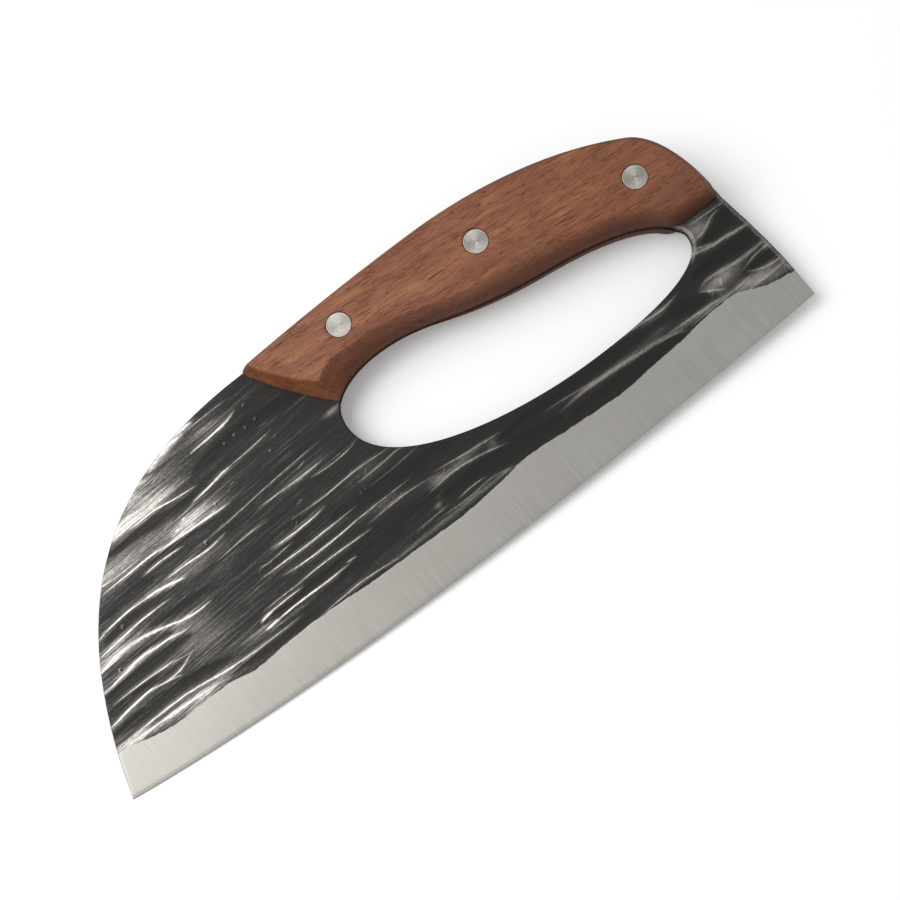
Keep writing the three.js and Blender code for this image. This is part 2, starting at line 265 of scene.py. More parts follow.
# %% Ridges, hollows and ground patches of the front face
# Half width, brightness, then the line's points, all lengths in millimetres of the flat drawing.
RIDGES = [
    (0.7, 0.85, [(3.5, 14.9), (12, 15.2), (24, 15.7), (34, 15.5), (44, 14.3), (58, 13.8), (73, 14.2)]),
    (0.6, 0.6, [(5, 13.9), (20, 13.5), (33, 13.0), (41, 12.4), (46, 11.6)]),
    (0.8, 0.85, [(5, 20.5), (14, 22.3), (22, 23.1), (28, 22.6)]),
    (0.45, 0.85, [(23, 23.0), (29, 22.4), (34, 22.9), (37.5, 24.4), (39.5, 25.2)]),
    (0.5, 0.85, [(11, 26.4), (22, 26.5), (31, 26.2), (36, 25.6), (39.5, 25.1)]),
    (0.4, 0.7, [(26, 22.6), (30, 22.0), (33.5, 21.3)]),
    (0.85, 0.95, [(8, 30.4), (17, 31.6), (25, 32.8), (33, 32.7), (43, 31.6)]),
    (1.2, 0.75, [(11, 35.8), (19, 37.6), (26, 38.0), (35, 36.8), (41, 35.1), (45, 34.3)]),
    (0.55, 1, [(32, 37.4), (38, 36.0), (42, 34.8), (46, 34.2), (54, 34.4)]),
    (0.75, 0.8, [(13.5, 40.0), (24, 41.3), (33, 42.2), (44, 42.4)]),
    (0.6, 0.9, [(16, 44.5), (25, 46.3), (33, 46.9), (40, 46.7)]),
    (0.9, 0.95, [(34, 46.9), (43, 46.4), (51, 44.8)]),
    (0.5, 0.9, [(40, 53.0), (47, 53.5), (56, 53.2)]),
    (0.6, 0.8, [(25, 55.8), (36, 56.2), (46, 56.6), (53, 56.1), (62, 55.7)]),
    (0.8, 0.95, [(50, 56.0), (62, 55.8), (75, 55.4)]),
    (0.45, 1, [(44, 67.1), (56, 67.4), (61, 66.7), (70, 66.0)]),
    (0.6, 1, [(44, 47.9), (55, 47.9), (60, 47.6), (69, 48.7)]),
    (0.45, 0.5, [(25, 58.0), (34, 57.7), (43, 58.2)]),
    (0.95, 1, [(60.9, 19.6), (62.8, 20.0), (67, 20.7)]),
    (0.5, 1, [(61.6, 19.9), (65, 20.5), (70, 20.8), (78, 21.0)]),
    (0.9, 1, [(60.8, 16.9), (63, 17.1), (67.5, 17.4)]),
    (0.7, 1, [(61.5, 16.9), (68, 17.5), (78, 17.8), (86, 17.8), (95, 18.2)]),
    (0.4, 0.8, [(92, 18.9), (96.5, 18.7)]),
    (0.4, 0.75, [(76, 10.6), (86, 11.2), (92, 11.5), (106, 10.7)]),
    (0.4, 0.65, [(64, 22.0), (72, 22.4), (80, 22.4)]),
    (0.4, 0.95, [(75, 22.5), (88, 23.0), (105, 22.8)]),
    (0.45, 1, [(74, 27.3), (85, 26.7), (95, 27.0), (106, 27.8)]),
    (0.4, 0.6, [(98, 27.3), (110, 27.9), (124, 28.3)]),
    (0.45, 1, [(67.5, 30.5), (78, 30.5), (86, 30.5), (96, 30.9), (106, 31.3)]),
    (0.4, 0.6, [(68.3, 31.0), (69.5, 32.4), (74, 33.1), (84, 34.0)]),
    (0.5, 1, [(76, 36.1), (86, 35.9), (92, 36.2), (97.5, 37.0)]),
    (0.5, 0.55, [(86, 39.8), (98, 39.4), (104, 39.8), (111, 40.2), (126, 39.6)]),
    (0.4, 0.6, [(79, 48.8), (90, 48.7), (104, 49.0)]),
    (0.45, 0.6, [(98, 46.6), (108, 46.3), (114, 47.0), (118, 48.4)]),
    (0.35, 0.6, [(62, 50.0), (75, 51.4), (90, 53.0), (108, 54.4)]),
    (0.35, 0.5, [(60, 42.9), (70, 43.8), (81, 44.3)]),
    (0.8, 1, [(65, 62.2), (72, 63.2), (77, 64.2), (83, 64.7)]),
    (0.4, 0.65, [(77, 64.4), (88, 65.2), (98, 66.4)]),
    (0.9, 0.9, [(73, 75.3), (82, 75.9), (88, 76.8), (92.5, 78.2)]),
    (0.45, 0.5, [(74, 82.0), (84, 82.3), (94, 82.6)]),
    (0.6, 0.48, [(103, 24.4), (112, 25.0), (119, 25.2), (129, 24.5)]),
    (0.4, 0.4, [(109, 36.5), (119, 37.1), (126, 37.5), (130, 36.0)]),
    (0.4, 0.36, [(109, 33.6), (122, 34.0), (133, 35.2)]),
    (0.6, 0.48, [(129, 25.5), (140, 24.3), (154, 23.0)]),
    (0.75, 0.52, [(124, 21.2), (135, 21.9), (142, 21.3), (154, 18.8)]),
    (0.4, 0.64, [(130, 14.1), (137, 14.9), (142, 14.8)]),
    (0.4, 0.4, [(114, 13.8), (121, 14.3), (128, 14.6)]),
    (0.45, 0.4, [(120, 12.9), (134, 12.7), (146, 13.0), (150, 11.6)]),
    (0.5, 0.4, [(166, 20.2), (174, 19.6), (182, 18.8), (192, 18.2)]),
    (1.5, 0.48, [(170, 17.0), (180, 17.9), (190, 17.7), (200, 17.0), (211, 16.3), (217, 15.0)]),
    (0.7, 0.44, [(205, 16.2), (212, 15.6), (217.6, 13.8)]),
    (1.1, 0.4, [(208, 16.6), (220, 16.3), (228, 15.9), (237, 15.0)]),
    (0.8, 0.48, [(196, 24.3), (206, 24.3), (213.5, 23.7), (222, 25.1)]),
    (1.3, 0.6, [(228.5, 31.4), (233, 31.6), (238, 30.7), (244, 30.2), (256, 28.9)]),
    (0.5, 0.48, [(231.5, 34.0), (236, 32.0), (241, 30.8)]),
    (0.7, 0.4, [(234.5, 34.6), (240, 36.0), (244, 38.0), (248, 38.8)]),
    (0.5, 0.44, [(236, 40.0), (244, 39.6), (254, 39.4)]),
    (1.3, 0.48, [(226.4, 21.2), (229.5, 22.8), (235, 22.7), (242, 21.9), (256, 22.7)]),
    (0.8, 0.48, [(226.6, 21.2), (229.5, 19.6), (234, 16.9)]),
    (0.4, 0.6, [(232.6, 17.4), (233.4, 19.2), (234.5, 21.2)]),
    (0.9, 0.48, [(241.2, 18.9), (243, 17.0), (246, 15.8), (256, 14.9)]),
    (0.7, 0.48, [(241.2, 18.5), (246, 20.1), (256, 20.5)]),
    (0.6, 0.4, [(217, 14.1), (226, 14.8), (233, 15.2), (243, 16.0)]),
    (0.9, 0.4, [(238, 12.6), (246, 12.9), (256, 13.2)]),
]
# Short scuffs across the grain: half width, brightness and both ends.
SCUFFS = [
    (0.35, 0.5, (107.2, 32.4), (108.8, 35.0)), (0.35, 0.45, (109.4, 33.2), (110.6, 34.9)),
    (0.35, 0.45, (86.2, 37.0), (87.8, 38.6)), (0.3, 0.45, (90.2, 42.3), (93.2, 43.3)),
    (0.3, 0.4, (96.6, 51.0), (100.8, 52.6)), (0.35, 0.4, (108.6, 39.6), (110.4, 41.6)),
    (0.35, 0.4, (112.2, 36.8), (113.8, 39.0)), (0.35, 0.45, (114.2, 25.0), (115.2, 27.0)),
    (0.35, 0.4, (116.0, 25.2), (116.8, 26.8)), (0.35, 0.4, (117.4, 25.2), (118.2, 26.5)),
    (0.4, 0.5, (131.8, 23.4), (133.2, 25.2)), (0.4, 0.35, (148.6, 20.2), (149.6, 22.8)),
    (0.4, 0.35, (123.2, 15.2), (124.2, 18.6)), (0.4, 0.35, (125.0, 17.8), (127.0, 18.9)),
]
# Half height, depth, then the centre line's points.
HOLLOWS = [
    (2.4, 0.28, [(2, 18.0), (20, 19.0), (36, 18.5), (48, 16.6)]),
    (1.5, 0.20, [(5, 24.0), (20, 24.8), (39, 25.0)]),
    (1.9, 0.24, [(9, 28.8), (22, 29.4), (33, 29.8), (43, 29.6)]),
    (1.1, 0.10, [(12, 34.2), (25, 34.7), (39, 33.8)]),
    (1.7, 0.18, [(19, 43.4), (32, 44.7), (50, 43.6)]),
    (2.0, 0.20, [(21, 49.6), (32, 50.4), (44, 50.6)]),
    (1.7, 0.14, [(34, 64.2), (50, 64.4), (68, 63.8)]),
    (1.8, 0.10, [(33, 39.4), (44, 38.4), (60, 37.4)]),
    (0.8, 0.10, [(42, 54.8), (56, 54.8), (72, 53.6)]),
    (1.5, 0.18, [(45, 12.2), (60, 12.2), (78, 12.0)]),
    (1.3, 0.24, [(61.0, 18.5), (78, 19.4), (99, 20.4)]),
    (0.8, 0.16, [(68.5, 31.6), (76, 31.8), (87, 32.2)]),
    (5.0, 0.20, [(88, 16.0), (108, 18.0), (128, 19.0)]),
    (3.0, 0.22, [(127, 17.4), (146, 16.8), (172, 15.2)]),
    (4.0, 0.16, [(96, 32.0), (118, 31.0), (140, 29.0)]),
    (2.4, 0.26, [(173, 13.8), (190, 13.6), (205, 13.8), (217.5, 14.2)]),
    (2.2, 0.18, [(150, 21.4), (180, 21.6), (205, 21.2), (229, 20.0)]),
    (3.2, 0.20, [(214, 21.0), (221, 19.8), (229, 18.6)]),
    (3.1, 0.30, [(227.5, 26.0), (240, 26.2), (252, 25.8), (266, 25.6)]),
    (3.4, 0.26, [(237, 33.0), (244, 34.4), (252, 34.8), (266, 34.8)]),
    (1.8, 0.22, [(241.2, 18.3), (248, 18.0), (255, 17.8), (266, 17.8)]),
    (2.6, 0.08, [(70, 70.0), (92, 72.0), (118, 70.0)]),
]
# Centre, half length, half height and how much of the steel the belt bared.
GROUND_PATCHES = [
    (16, 38.5, 9, 2.6, 0.30), (20, 34, 10, 1.6, 0.16), (31, 60, 10, 3.6, 0.28), (46, 59.5, 12, 2.6, 0.30),
    (62, 58.8, 8, 2.4, 0.42), (44, 69, 11, 2.2, 0.62), (58, 70, 8, 1.8, 0.42), (49, 74, 8, 3.4, 0.34),
    (62, 75, 12, 4.5, 0.20), (49, 74.9, 4, 0.8, 0.40), (54, 77.1, 4, 0.6, 0.60), (61, 79.6, 3, 0.9, 1.00),
    (66, 80.9, 3.4, 1.3, 1.00), (71, 82.0, 3.4, 1.1, 0.95), (76, 83.3, 3, 0.7, 1.00),
    (22, 13.3, 24, 0.8, 0.26), (40, 68.3, 4.5, 1.5, 0.40), (42, 32.9, 6, 1.3, 0.26),
    (9, 14.0, 8, 1.0, 0.62), (29, 12.2, 17, 1.5, 0.30), (50, 45.6, 14, 1.6, 0.26), (45, 27, 7, 5.0, 0.22),
    (58, 17.4, 6, 1.6, 0.22), (70, 56.6, 8, 1.8, 0.22), (80, 79, 8, 2.2, 0.20), (90, 62, 22, 6, 0.03),
    (116, 59.5, 3, 1.2, 0.40), (112, 38.5, 7, 2.0, 0.14), (98, 49, 16, 2.6, 0.08), (113, 26, 5, 0.9, 0.20),
    (138, 23.0, 8, 1.3, 0.26), (129, 23.2, 3, 1.5, 0.26), (124.6, 17, 1.4, 1.9, 0.36),
    (149, 21.6, 2, 1.8, 0.25), (108, 10.9, 8, 0.6, 0.20), (122, 11.2, 10, 0.9, 0.28),
    (138, 11.9, 9, 0.9, 0.32), (147, 12.4, 3, 0.6, 0.32), (192, 18.3, 14, 0.8, 0.20),
    (213, 24.1, 4.5, 0.7, 0.30), (209.5, 21, 5, 2.2, 0.34), (223, 15.6, 9, 1.0, 0.30),
    (234, 20.3, 6.5, 2.2, 0.58), (240, 14.6, 7, 1.5, 0.30), (238, 37.4, 4.6, 2.9, 0.54),
    (232, 32.2, 2.2, 1.0, 0.40), (243, 40.6, 8, 0.9, 0.16), (244, 13.6, 8, 1.8, 0.50),
    (239, 15.6, 3, 1.2, 0.22), (251.4, 20.8, 1.0, 1.6, 0.30), (249, 11.2, 5, 1.0, 0.30),
]
# Pits that scale left when it broke out: centre and radius.
PITS = [
    (62, 49.5, 0.5), (27, 43.8, 0.5), (19, 33.5, 0.45), (84, 71.2, 0.35), (88, 71.6, 0.4), (92, 71.4, 0.35),
    (96, 71.8, 0.4), (94, 60.7, 0.4), (95.5, 77.5, 0.35), (71, 57.5, 0.35),
]
# How much steel shows between the ridges, and how much of it a hollow keeps dark, along x.
BASE_ALONG_X = [0, 40, 70, 100, 150, 200, 254], [0.2, 0.17, 0.09, 0.06, 0.03, 0.06, 0.08]
KEPT_ALONG_X = [0, 60, 120, 254], [0.58, 0.6, 0.9, 0.8]
print(len(RIDGES), "ridges,", len(HOLLOWS), "hollows,", len(GROUND_PATCHES), "ground patches")

# %% [markdown]
# ## From the drawing to fields
# A field is a number for every point of the face. Each line's height at a given x comes from cubic
# pieces whose slopes are the neighbours' average, and a width that falls to nothing at both ends
# gives it pointed tips. Light uneven hammering between the lines is smooth noise.

# %% Fields over the face
# How blunt the ends of lines are, and the least half width that a line is worked out with.
LINE_TIP = 0.5
RIDGE_TIP = 0.7
THINNEST_TENT = 0.15
# Strength, reach and fall of the haze beside a ridge, and how fast a hollow turns dark from its rim.
HAZE = 0.12
HAZE_REACH = 1.4
HAZE_FALL = 1.5
HOLLOW_DARKENS = 1.8
# What forging took off the plate, and how high and how wide a ridge stands over that.
FORGING_LOSS = 0.10
RIDGE_RISE = 0.08
RIDGE_FOOT = 1.5
# Height of the light hammering, its length along and across the blade, and its seed.
HAMMERING = [(0.05, 26, 5, 3), (0.025, 9, 1.7, 5)]
LATTICE = 64
LATTICE_MARGIN = 8


def line_height(points, x):
    """Cubic pieces through the points, each with its ends' slopes, which the neighbours give."""
    px, py = np.array(points, float).T
    slope = np.gradient(py, px)
    i = np.clip(np.searchsorted(px, x) - 1, 0, len(px) - 2)
    step = px[i + 1] - px[i]
    t = np.clip((x - px[i]) / step, 0, 1)
    start = (1 + 2 * t) * (1 - t) ** 2 * py[i] + t * (1 - t) ** 2 * step * slope[i]
    return start + t * t * (3 - 2 * t) * py[i + 1] + t * t * (t - 1) * step * slope[i + 1]


def tent(points, half, x, y, blunt):
    """1 on the line and 0 at its half width; the width falls off as (1 - (2t-1)^2) ^ blunt."""
    t = (x - points[0][0]) / (points[-1][0] - points[0][0])
    width = half * np.clip(1 - (2 * t - 1) ** 2, 0, 1) ** blunt
    away = np.abs(y - line_height(points, x))
    return np.where(width > 0, np.clip(1 - away / np.maximum(width, THINNEST_TENT), -1, 1), -1)


def smooth_noise(x, y, length, height, seed):
    """Random numbers on a lattice, blended by 3t^2 - 2t^3 between its points; from -1 to 1."""
    lattice = np.random.default_rng(seed).uniform(-1, 1, (LATTICE, LATTICE))
    u, v = x / length + LATTICE_MARGIN, y / height + LATTICE_MARGIN
    i, j = np.floor(u).astype(int) % LATTICE, np.floor(v).astype(int) % LATTICE
    next_i, next_j = (i + 1) % LATTICE, (j + 1) % LATTICE
    s, t = u - np.floor(u), v - np.floor(v)
    s, t = s * s * (3 - 2 * s), t * t * (3 - 2 * t)
    below = lattice[i, j] * (1 - s) + lattice[next_i, j] * s
    above = lattice[i, next_j] * (1 - s) + lattice[next_i, next_j] * s
    return below * (1 - t) + above * t


def bared(x, y):
    """How far the belt bared the steel between the ridges: a base that falls from the nose, patches and
    a haze beside each ridge. Hollows keep their scale, and less of it near the nose."""
    patches = sum(amount * np.exp(-((x - cx) / half_length) ** 2 - ((y - cy) / half_height) ** 2)
                  for cx, cy, half_length, half_height, amount in GROUND_PATCHES)
    haze = np.max([bright * np.clip(tent(points, HAZE_REACH + half, x, y, LINE_TIP), 0, 1) ** HAZE_FALL
                   for half, bright, points in RIDGES], axis=0)
    dark = np.max([tent(points, half, x, y, LINE_TIP) for half, depth, points in HOLLOWS], axis=0)
    kept = np.interp(x, *KEPT_ALONG_X) * np.clip(HOLLOW_DARKENS * dark, 0, 1)
    return (np.interp(x, *BASE_ALONG_X) + patches + HAZE * haze) * (1 - kept)


def hammered(x, y):
    """Depth of the face below the flat plate: hollows with round bottoms, and light uneven hammering."""
    hollow = np.max([depth * (1 - (1 - np.clip(tent(points, half, x, y, LINE_TIP), 0, 1)) ** 2)
                     for half, depth, points in HOLLOWS], axis=0)
    ridge = np.max([np.clip(bright * tent(points, RIDGE_FOOT * half, x, y, RIDGE_TIP), 0, 1)
                    for half, bright, points in RIDGES], axis=0)
    uneven = sum(rise * smooth_noise(x, y, *lattice) for rise, *lattice in HAMMERING)
    return FORGING_LOSS + uneven + hollow - RIDGE_RISE * ridge


# %% [markdown]
# ## The wavy line between scale and bevel
# Grinding the flat bevel cuts into an uneven plate, so the line where black scale ends is wavy. Its
# height over the drawing's x axis is read off at a few places and joined smoothly. The forged face
# sinks towards that line so that the shapes meet there too.

# %% Bevel line and the two faces' heights
BEVEL_LINE = [
    (0, 13.7), (8, 13.3), (16, 11.4), (22, 10.5), (36, 10.8), (46, 10.4), (50, 9.5), (56, 9.4), (64, 10.1),
    (80, 10.4), (94, 9.6), (112, 9.5), (130, 9.4), (138, 10.1), (146, 11.0), (152, 11.9), (170, 11.2),
    (182, 10.6), (192, 10.5), (202, 11.6), (214, 12.6), (222, 13.8), (228, 14.3), (235, 14.2), (238, 13.2),
    (241, 11.8), (246, 10.3), (254, 9.2),
]
SCALE_FRONT_END = [outer_net[3], hole_net[3]]
REAR_FOOT_HEIGHT = 42.0
UNDER_SCALE_STEP = 1.5
LINE_SINK = 3.0


def over_bevel(x, y):
    """Signed height over the wavy line; it is what the material tests, so it stays a plain distance."""
    return y - line_height(BEVEL_LINE, x)


def under_scales(x, y):
    """1 where a scale lies on the tang and 0 on the open blade, with a soft step between."""
    (ax, ay), (bx, by) = SCALE_FRONT_END
    length = np.hypot(bx - ax, by - ay)
    behind = ((x - ax) * (ay - by) + (y - ay) * (bx - ax)) / length
    return (np.clip(behind / UNDER_SCALE_STEP, 0, 1)
            * np.clip((y - REAR_FOOT_HEIGHT) / UNDER_SCALE_STEP, 0, 1))


def face_height(x, y, front):
    """Half thickness of one face: the lower of the forged plate and the ground bevel."""
    mirrored_x = x if front else EDGE_LENGTH - x
    line = line_height(BEVEL_LINE, mirrored_x)
    at_line = BLADE_THICKNESS / 2 - bevel_plane(above_edge(x, line))
    near_line = np.exp(-np.clip(y - line, 0, None) / LINE_SINK)
    depth = hammered(mirrored_x, y) * (1 - near_line) + at_line * near_line
    plate = BLADE_THICKNESS / 2 - depth * (1 - under_scales(x, y))
    return np.minimum(plate, bevel_plane(above_edge(x, y)))


# %% [markdown]
# ## Thin lines on a coarse grid
# A ridge 0.8 mm wide would look beaded if its brightness were stored on points 0.6 mm apart. So each
# point keeps its signed distance from the ridge instead, divided by the ridge's half width. That
# number runs straight through zero on the ridge, and a straight run survives being stored on any
# grid. The material turns it into a line of exactly the right width. A second number says how bright
# the ridge is and is 0 away from it. Neighbouring ridges go into different layers, and the three
# numbers of a vector attribute hold three layers.

# %% Ridge strokes in layers
# Where a stroke's light ends and over what length it fades, and the largest ratio that is kept.
STROKE_REACH = 1.75
STROKE_FADE = 0.7
STROKE_LIMIT = 8.0
LAYERS = 3
# Width and brightness of a stroke over its taper, which is 1 in the middle and 0 at both ends.
TIP_WIDTH = 0.25
WIDTH_TAPER = 0.6
SHINE_GAIN = 1.25
SHINE_TAPER = 0.8
BAND_FADE = 3.0
# Light bands along an outline: half width, brightness, distance from the outline, and lowest x and y.
BANDS = {"hole": (1.2, 0.5, 0.9, 226, 29), "outer": (1.3, 0.42, 0.75, 247, 8)}


def line_stroke(half, bright, points, x, y):
    """Signed distance in millimetres, half width, brightness and plain distance of a ridge."""
    first, last = points[0][0], points[-1][0]
    t = np.clip((x - first) / (last - first), 0, 1)
    taper = 4 * t * (1 - t)
    away = y - line_height(points, x)
    past = np.maximum(np.maximum(first - x, x - last), 0)
    width = half * (TIP_WIDTH + (1 - TIP_WIDTH) * taper ** WIDTH_TAPER)
    shine = bright * np.clip(SHINE_GAIN * taper, 0, 1) ** SHINE_TAPER
    return away, width, shine, np.hypot(away, past)


def from_line(points, line, parts=40):
    """Distance of each point from the nearest point of a line, in parts that save memory."""
    return np.concatenate([
        np.hypot(some[:, None, 0] - line[:, 0], some[:, None, 1] - line[:, 1]).min(1)
        for some in np.array_split(points, parts)
    ])


def band_stroke(name, line_track, x, y):
    """The same for a band that follows an outline at a fixed distance."""
    half, bright, offset, low_x, low_y = BANDS[name]
    away = np.full(len(x), STROKE_LIMIT)
    near = (x > low_x - STROKE_LIMIT) & (y > low_y - STROKE_LIMIT)
    away[near] = from_line(np.column_stack([x, y])[near], line_track[:, 1:3]) - offset
    fade = np.clip((x - low_x) / BAND_FADE, 0, 1) * np.clip((y - low_y) / BAND_FADE, 0, 1)
    return away, np.full(len(x), half), bright * fade, np.abs(away)


def stroke_layers(x, y):
    """Distance over half width and brightness in each layer; a ridge takes the emptiest layer."""
    scuffs = [(half, bright, [start, end]) for half, bright, start, end in SCUFFS]
    strokes = [line_stroke(*ridge, x, y) for ridge in RIDGES + scuffs]
    strokes += [band_stroke("hole", hole, x, y), band_stroke("outer", outer, x, y)]
    nearest = np.full((LAYERS, len(x)), np.inf)
    ratio = np.full((LAYERS, len(x)), STROKE_LIMIT)
    shine = np.zeros((LAYERS, len(x)))
    shared = 0
    for away, width, bright, distance in strokes:
        window = np.clip((STROKE_REACH - distance) / STROKE_FADE, 0, 1) * bright
        clashes = [((shine[layer] > 0) & (window > 0)).sum() for layer in range(LAYERS)]
        layer = int(np.argmin(clashes))
        shared += clashes[layer]
        wins = distance < nearest[layer]
        nearest[layer] = np.where(wins, distance, nearest[layer])
        ratio[layer] = np.where(wins, np.clip(away / width, -STROKE_LIMIT, STROKE_LIMIT), ratio[layer])
        shine[layer] = np.where(wins, window, shine[layer])
    print("%d strokes in %d layers, %d points shared" % (len(strokes), LAYERS, shared))
    return ratio.T, shine.T


# %% [markdown]
# ## A grid over a plate with a hole
# The face is a function of two parameters on three patches: the nose, the strip under the finger hole
# and the tang over it. Each patch fills in between its four sides: lines across from side to side plus
# lines from bottom to top, minus the flat patch through the corners, counted twice. Rows run along the
# blade, as the ridges do, so they are close together, and the columns are coarser.

# %% Patches of the face
# Radius of a broken rim, and the most that it takes of the half thickness.
RIM_ROUND = 0.3
RIM_SHARE = 0.4
# Distances of rows and columns, in the open, under the scales and over the edge.
ROW_STEP = 0.56
COLUMN_STEP = 0.95
HIDDEN_STEP = 2.6
EDGE_ROWS = 8
EDGE_ROW_STEP = MICRO_BEVEL_HEIGHT / 4
SPLIT_X = 100.0
NOSE_TURN_HEIGHT = 76.0
REAR_TURN_X = 240.0
# How far the fine columns reach under the scales at their front end and at the hole's rear end.
FINE_AT_FRONT = 3.0
FINE_AT_REAR = 6.0
# The curve of the hole that ends in its rearmost point.
HOLE_REAR_CURVE = 5


def rim_of(x, y):
    """Radius that breaks a rim: less where the plate is ground thin."""
    return np.minimum(RIM_ROUND, RIM_SHARE * bevel_plane(above_edge(x, y)))


def inside(line_track, distance):
    """Points of an outline drawn in by the radius that rounds its rim."""
    here = at(line_track, distance)
    return here[..., :2] + here[..., 2:] * rim_of(here[..., 0], here[..., 1])[..., None]


def distance_where(line_track, column, value, after=0.0):
    """First distance past the given one at which a track's column reaches a value."""
    passed = (line_track[:, column] - value)[line_track[:, 0] > after]
    first = np.argmax(np.sign(passed) != np.sign(passed[0]))
    return line_track[line_track[:, 0] > after, 0][first]


def filled(bottom, top, left, right, rows):
    """Patch between a bottom and a top line and two sides, which are functions of a share. Rows (k, n)
    hold the share of the way from bottom to top of each point."""
    share = shares_of(top)[None, :, None]
    v = rows[:, :, None]
    across = (1 - v) * bottom[None] + v * top[None]
    left_bend = left(rows) - ((1 - v) * bottom[0] + v * top[0])
    right_bend = right(rows) - ((1 - v) * bottom[-1] + v * top[-1])
    return across + (1 - share) * left_bend + share * right_bend


def straight(a, b):
    """The line from a to b as a function of a share."""
    return lambda share: np.asarray(a) + share[..., None] * (np.asarray(b) - a)


def on_outline(start, end):
    """The drawn-in outline between two distances along it as a function of a share."""
    return lambda share: inside(outer, start + (end - start) * share)


def stations(start, end, step):
    """Evenly spaced distances from start to end, at most a step apart."""
    return np.linspace(start, end, int(np.ceil(abs(end - start) / step)) + 1)


def row_shares(heights, count):
    """Row places for columns of these heights: a few fine rows over the edge, then even ones."""
    fine = np.arange(EDGE_ROWS)[:, None] * EDGE_ROW_STEP / heights
    first = EDGE_ROWS * EDGE_ROW_STEP / heights
    even = np.linspace(0, 1, count - EDGE_ROWS + 1)[:, None]
    return np.vstack([fine, first + even * (1 - first)])


# Where the patches' corners lie along the tracks. The hole's track starts at its front, and a third of
# the way round is far enough from there to look for its rear.
spine_at_split = distance_where(outer, 1, SPLIT_X)
nose_turn = distance_where(outer, 2, NOSE_TURN_HEIGHT)
rear_turn = distance_where(outer, 1, REAR_TURN_X)
hole_rear_height = hole_net[3 * HOLE_REAR_CURVE][1]
hole_rear = distance_where(hole, 2, hole_rear_height, after=hole[-1, 0] / 3)
rear_of_foot = distance_where(outer, 2, hole_rear_height, after=rear_turn)
scale_front_on_hole = distance_where(hole, 1, hole_net[3][0])
heel = outer[-1, 0]

split_height = hole_net[0][1]
split_low = np.array([SPLIT_X, np.interp(SPLIT_X, edge[:, 1], edge[:, 2])])
split_middle = np.array([SPLIT_X, split_height])
split_high = inside(outer, spine_at_split)
hole_front = inside(hole, 0.0)
hole_back = inside(hole, hole_rear)
rear_back = inside(outer, rear_of_foot)
nose_corner, heel_corner = edge[0, 1:3], edge[-1, 1:3]

low_rows = int(np.ceil((split_height - split_low[1]) / ROW_STEP))
high_rows = int(np.ceil((split_high[1] - split_height) / ROW_STEP))

# Columns shared by the strip under the hole and the tang.
front_link = stations(0, 1, COLUMN_STEP / (hole_front[0] - SPLIT_X))
rear_link = stations(0, 1, COLUMN_STEP / (rear_back[0] - hole_back[0]))
front_points = straight(split_middle, hole_front)(front_link)
rear_points = straight(hole_back, rear_back)(rear_link)

# The strip under the hole.
under_hole = stations(hole[-1, 0], hole_rear, COLUMN_STEP)
strip_top = np.vstack([front_points[:-1], inside(hole, under_hole)[:-1], rear_points])
edge_split = np.interp(SPLIT_X, edge[:, 1], edge[:, 0])
strip_edge = edge_split + (edge[-1, 0] - edge_split) * shares_of(strip_top)
strip_bottom = at(edge, strip_edge)[:, :2]
strip_rows = row_shares(np.hypot(*(strip_top - strip_bottom).T)[None], low_rows)
strip = filled(strip_bottom, strip_top, straight(split_low, split_middle),
               on_outline(heel, rear_of_foot), strip_rows)

# The tang over the hole, coarser where the scales cover it.
over_hole = np.concatenate([
    stations(0, scale_front_on_hole + FINE_AT_FRONT, COLUMN_STEP)[:-1],
    stations(scale_front_on_hole + FINE_AT_FRONT, hole_rear - FINE_AT_REAR, HIDDEN_STEP)[:-1],
    stations(hole_rear - FINE_AT_REAR, hole_rear, COLUMN_STEP),
])
tang_bottom = np.vstack([front_points[:-1], inside(hole, over_hole)[:-1], rear_points])
tang_over = spine_at_split + (rear_turn - spine_at_split) * shares_of(tang_bottom)
tang_top = inside(outer, tang_over)
tang_rows = np.linspace(0, 1, high_rows + 1)[:, None] * np.ones((1, len(tang_top)))
tang = filled(tang_bottom, tang_top, straight(split_middle, split_high),
              on_outline(rear_of_foot, rear_turn), tang_rows)

# The nose, whose right side is the left sides of the other two.
nose_edge = stations(0, edge_split, COLUMN_STEP)
nose_bottom = at(edge, nose_edge)[:, :2]
nose_over = nose_turn + (spine_at_split - nose_turn) * nose_edge / nose_edge[-1]
nose_top = inside(outer, nose_over)
nose_side = np.vstack([strip[:-1, 0], tang[:, 0]])
side_rows = shares_of(nose_side)
nose_rows = side_rows[:, None] * np.ones((1, len(nose_top)))
nose = filled(nose_bottom, nose_top, on_outline(0, nose_turn), straight(split_low, split_high), nose_rows)
nose[:, -1] = nose_side
nose[0, 0], strip[0, -1] = nose_corner, heel_corner
print("patches:", nose.shape[:2], strip.shape[:2], tang.shape[:2])

# %% [markdown]
# ## The rims
# Between the two faces runs a wall. Its corners are quarter rounds, so the profile carried along each
# outline goes from the front face over a quarter circle, down the wall and over the other quarter.

# %% Rim strips along the outline, the hole and the edge
RIM_STEPS = 3


def raised(patch, height):
    """Points with a height, one for all or one for each, as their third coordinate."""
    return np.concatenate([patch, np.broadcast_to(height, patch.shape[:-1])[..., None]], -1)


